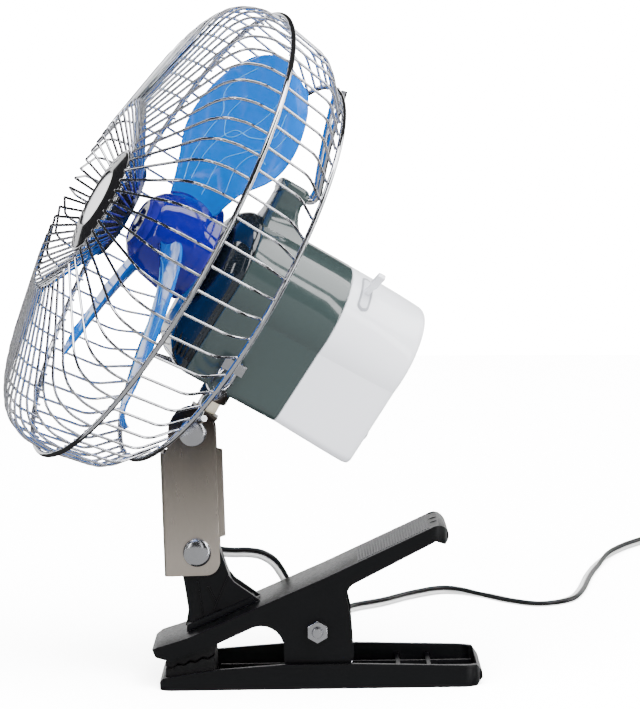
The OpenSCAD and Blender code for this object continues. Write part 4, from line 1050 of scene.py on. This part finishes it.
def web_strip():
    """The channel's back with its two bends, open where the flanges go on."""
    x = -FLANGE_LEFT + BEND
    lines = [arc(x, -OUT + BEND, r, -90, -180, 8) + arc(x, OUT - BEND, r, 180, 90, 8)
        for r in (BEND, BEND - THICK)]
    n = len(lines[0])
    verts = [(x, y, z) for z in (-FOOT_DROP, CUT_H) for line in lines for x, y in line]
    faces = []
    for k in range(n - 1):
        for a, b in ((0, 2 * n), (n, 3 * n), (0, n), (2 * n, 3 * n)):
            faces.append((a + k, a + k + 1, b + k + 1, b + k))
    return verts, faces


bracket_part = joined(flange(0, -OUT, -IN), flange(2.2, OUT, IN), web_strip())
bracket = new_object("folded_bracket", *bracket_part, ARM, weld=0.002)
settle(bracket, 35)
rounded_edges(bracket, 0.22, 2, 50)
dress(bracket, "bracket_steel", "arm", ["bracket"], 30)


def rivet(name, at, half, body, node, shank=2.5, r=5.8):
    """A rivet along y: a low dome on a short edge at both ends of a shank."""
    head = [(0, 0.01), (0, r - 0.2), (0.25, r), (0.7, r)]
    for degrees in (12, 24, 36, 48, 60, 70, 80):
        a = radians(degrees)
        head.append((0.7 + 1.9 * sin(a), r * cos(a)))
    head.append((2.6, 0))
    rod = [(-half, 0), (-half, shank), (half, shank), (half, 0)]
    parts = []
    for outline, sides, s, y in ((head, 64, -1, -half), (head, 64, 1, half), (rod, 32, 1, 0)):
        flip = Matrix(((0, 1, 0, 0), (s, 0, 0, y), (0, 0, 1, 0), (0, 0, 0, 1)))
        parts.append(moved(lathe(outline, sides), flip))
    piece(name, joined(*parts), Matrix.Translation(at), "bright_steel", body, [node], 40)


rivet("lower_rivet", LOWER_PIN, OUT, "arm", "post_rivet")
rivet("upper_rivet", TILT_PIN, OUT + 0.1, "neck", "tilt_rivet")
from_cad("cord_gland", 0.3)
from_cad("tilt_knuckle", 0.4, 3)
from_cad("stop_plate", 0.2)
sleeve = soft([(10, 3.1), (10, 4.2), (11.2, 4.35), (FLOOR_H + 3, 4.35), (FLOOR_H + 3, 3.1)], 3, 0.3)
piece("nylon_bush", along_z(lathe(sleeve, 48, closed=True)), NECK, "nylon", "neck", ["neck_sleeve"], 40)

# Clip
for name, width, segments in (("upper_jaw", 0.55, 3), ("lower_jaw", 0.5, 3), ("clip_post", 0.4, 2),
        ("upper_pad", 0.15, 2), ("lower_pad", 0.15, 2), ("pivot_nut", 0.35, 3),
        ("pivot_bolt", 0.3, 2)):
    from_cad(name, width, segments)

# Fine grip ridges across the top of the handle, grey as a painted highlight
SLOPE = radians(24.5)
RIDGES = 26
RIDGE_STEP = 1.12
HANDLE_HALF = 18.5
RIDGE_SIDE = ((-0.4, -0.3), (-0.3, 0.06), (-0.1, 0.22), (0.12, 0.28), (0.3, 0.24), (0.4, 0))
ridges = []
for i in range(RIDGES):
    x = 17 + RIDGE_STEP * i
    z = 44.6 + (x - 3.3) * math.tan(SLOPE)
    ridges.append(prism([(x + dx, z + dz) for dx, dz in RIDGE_SIDE], -HANDLE_HALF, HANDLE_HALF))
piece("handle_grip", joined(*ridges), WORLD, "ridges", "jaw", angle=60)

rib_parts = []
for (x0, z0), (x1, z1), half in (((-44.4, 39), (-38.9, 26.6), 0.4), ((-48.6, 41), (-46.4, 24.4), 0.3)):
    side = [(x0 - half, z0), (x0 + half, z0 + 0.3), (x1 + half, z1 + 0.3), (x1 - half, z1)]
    for y0 in (-6.3, 5.7):
        rib_parts.append(prism(side, y0, y0 + 0.6))
piece("post_ribs", joined(*rib_parts), WORLD, "clip_plastic", "jaw", angle=40)

SPRING_WIRE = 1.8
SPRING_D = 12
PIVOT_Z = 23.1
STEP = SPRING_WIRE + 0.5
TURNS = 4.5
TURN_POINTS = 24
LEG_Y = 8.4
coil_pts = [Vector((13.5, -STEP * TURNS / 2, 1.6 + SPRING_WIRE / 2 + 4.4))]
for i in range(int(TURN_POINTS * TURNS) + 1):
    a = radians(-60 - 360 / TURN_POINTS * i)
    coil_pts.append(Vector((SPRING_D / 2 * cos(a), -STEP * TURNS / 2 + STEP * i / TURN_POINTS,
        PIVOT_Z + SPRING_D / 2 * sin(a))))
leg = [(2.5, PIVOT_Z + SPRING_D / 2 + 1.6), (9, 36), (16, 43), (21, 48.6)]
leg = fillet([(x, LEG_Y, z) for x, z in leg], 0.45, 4)
for name, path, body, node in (("spring_turns", coil_pts, "base", "clip_spring"),
        ("spring_arm", leg, "jaw", "spring_leg")):
    piece(name, tube([path], SPRING_WIRE / 2, 10, (0, 1, 0)), WORLD, "bright_steel", body, [node], 60)

# Stage
BACKDROP = 18.0
AIM = (0, 0, 0.15)
LIGHT_AIM = (0, 0, 0.12)


def stage_piece(name, verts, faces, colour, rough, emission, unseen_by):
    """A plain piece of the studio, with the kinds of ray that don't see it."""
    mesh = bpy.data.meshes.new(name)
    mesh.from_pydata(verts, [], faces)
    obj = linked(name, mesh)
    mat = bpy.data.materials.new(name)
    mat.use_nodes = True
    bsdf = mat.node_tree.nodes["Principled BSDF"]
    bsdf.inputs["Base Color"].default_value = (*colour, 1)
    bsdf.inputs["Roughness"].default_value = rough
    bsdf.inputs["Emission Color"].default_value = (1, 1, 1, 1)
    bsdf.inputs["Emission Strength"].default_value = emission
    mesh.materials.append(mat)
    for f in mesh.polygons:
        f.use_smooth = True
    for kind in unseen_by:
        setattr(obj, "visible_" + kind, False)
    return obj


def turned(profile, sides):
    """A profile of (radius, height) turned about the upright axis."""
    turns = [TAU * k / sides for k in range(sides)]
    verts = [(r * cos(a), r * sin(a), z) for r, z in profile for a in turns]
    return verts, bands(len(profile), sides)


def ground(name, profile, rough, emission, *unseen_by):
    """A pale round stage piece that reflections don't see."""
    return stage_piece(name, *turned(profile, 96), (0.9, 0.9, 0.9), rough, emission,
        ("diffuse", "glossy", "transmission", *unseen_by))


FLOOR_R = 1.5
ROOM_R = 10.0
floor = ground("floor", [(0.001, 0.0), (FLOOR_R, 0.0)], 0.35, 1.0)
room_line = [(FLOOR_R, 0.0)] + [(ROOM_R - 1 + x, 1 + z) for x, z in arc(0, 0, 1, -90, 0, 8)]
ground("room", room_line + [(ROOM_R, 14.0), (0.001, 16.0)], 0.6, BACKDROP, "shadow")


def mirrored(name, verts, faces, rough, glow):
    """A black or glowing stage piece that only reflections see."""
    stage_piece(name, verts, faces, (0, 0, 0), rough, glow, ("camera", "diffuse", "shadow", "transmission"))


def card(name, at, size, facing, glow):
    """A plain card that faces a place."""
    z = (Vector(facing) - Vector(at)).normalized()
    x = Vector((0, 0, 1)).cross(z).normalized()
    y = z.cross(x)
    w, h = size[0] / 2, size[1] / 2
    verts = [Vector(at) + x * a * w + y * b * h for a, b in ((-1, -1), (1, -1), (1, 1), (-1, 1))]
    mirrored(name, verts, [(0, 1, 2, 3)], 0.9, glow)


# A dark room round the fan
DARK_R = 3.4
DARK_ROWS = 12
bows = [math.pi * (i / DARK_ROWS - 0.5) for i in range(DARK_ROWS + 1)]
mirrored("dark_dome", *turned([(DARK_R * cos(e), DARK_R * sin(e)) for e in bows], 24), 1.0, 0.03)
card("overhead", (0.0, -0.1, 1.9), (2.15, 0.5), AIM, 8)
card("top_band", (1.35, -0.12, 1.25), (1.3, 0.7), AIM, 6)
card("back_wall", (0.0, 2.8, 0.4), (5.0, 1.4), AIM, 1.7)
card("low_light", (-0.2, -0.6, -0.35), (3.0, 2.0), (0, 0, 0.3), 0.5)

# Upright strips round the fan, as (bearing in degrees, width, glow)
STRIPS = ((-75, 0.14, 2.6), (-38, 0.28, 8), (-12, 0.12, 8), (30, 0.3, 8), (160, 0.12, 5), (205, 0.08, 4),
    (236, 0.2, 7))
STRIP_R = 2.2
STRIP_H = 2.2
for number, (degrees, wide, glow) in enumerate(STRIPS):
    bearing = radians(degrees)
    at = (STRIP_R * cos(bearing), STRIP_R * sin(bearing), 0.6)
    card(f"strip_{number}", at, (wide, STRIP_H), (0, 0, 0.3), glow)


def lamp(name, kind, power):
    """A light that reflections don't see."""
    data = bpy.data.lights.new(name, kind)
    data.energy = power
    obj = linked(name, data)
    obj.visible_glossy = False
    return obj


def area(name, at, size, power):
    obj = lamp(name, "AREA", power)
    obj.data.shape = "RECTANGLE"
    obj.data.size, obj.data.size_y = size
    obj.location = at
    obj.rotation_mode = "QUATERNION"
    obj.rotation_quaternion = (Vector(LIGHT_AIM) - Vector(at)).to_track_quat("-Z", "Y")


area("key", (0.7, -0.9, 1.5), (0.9, 0.5), 52)
area("fill", (-1.4, -0.9, 0.8), (0.7, 0.9), 14)
area("back", (0.2, 1.2, 1.3), (1.2, 0.8), 26)

# A wide soft sun that only the floor receives, so the ground is white with a faint shadow
SUN_POWER = 70
SUN_SPREAD = 90
SUN_LEAN = 40
sun = lamp("floor_sun", "SUN", SUN_POWER)
sun.data.angle = radians(SUN_SPREAD)
sun.rotation_euler = (radians(SUN_LEAN), 0, 0)
receivers = bpy.data.collections.new("floor_only")
receivers.objects.link(floor)
sun.light_linking.receiver_collection = receivers

world = bpy.data.worlds.new("studio")
bpy.context.scene.world = world
world.use_nodes = True
sky = world.node_tree.nodes["Background"]
sky.inputs["Color"].default_value = (0.97, 0.98, 1.0, 1)
sky.inputs["Strength"].default_value = 2.2
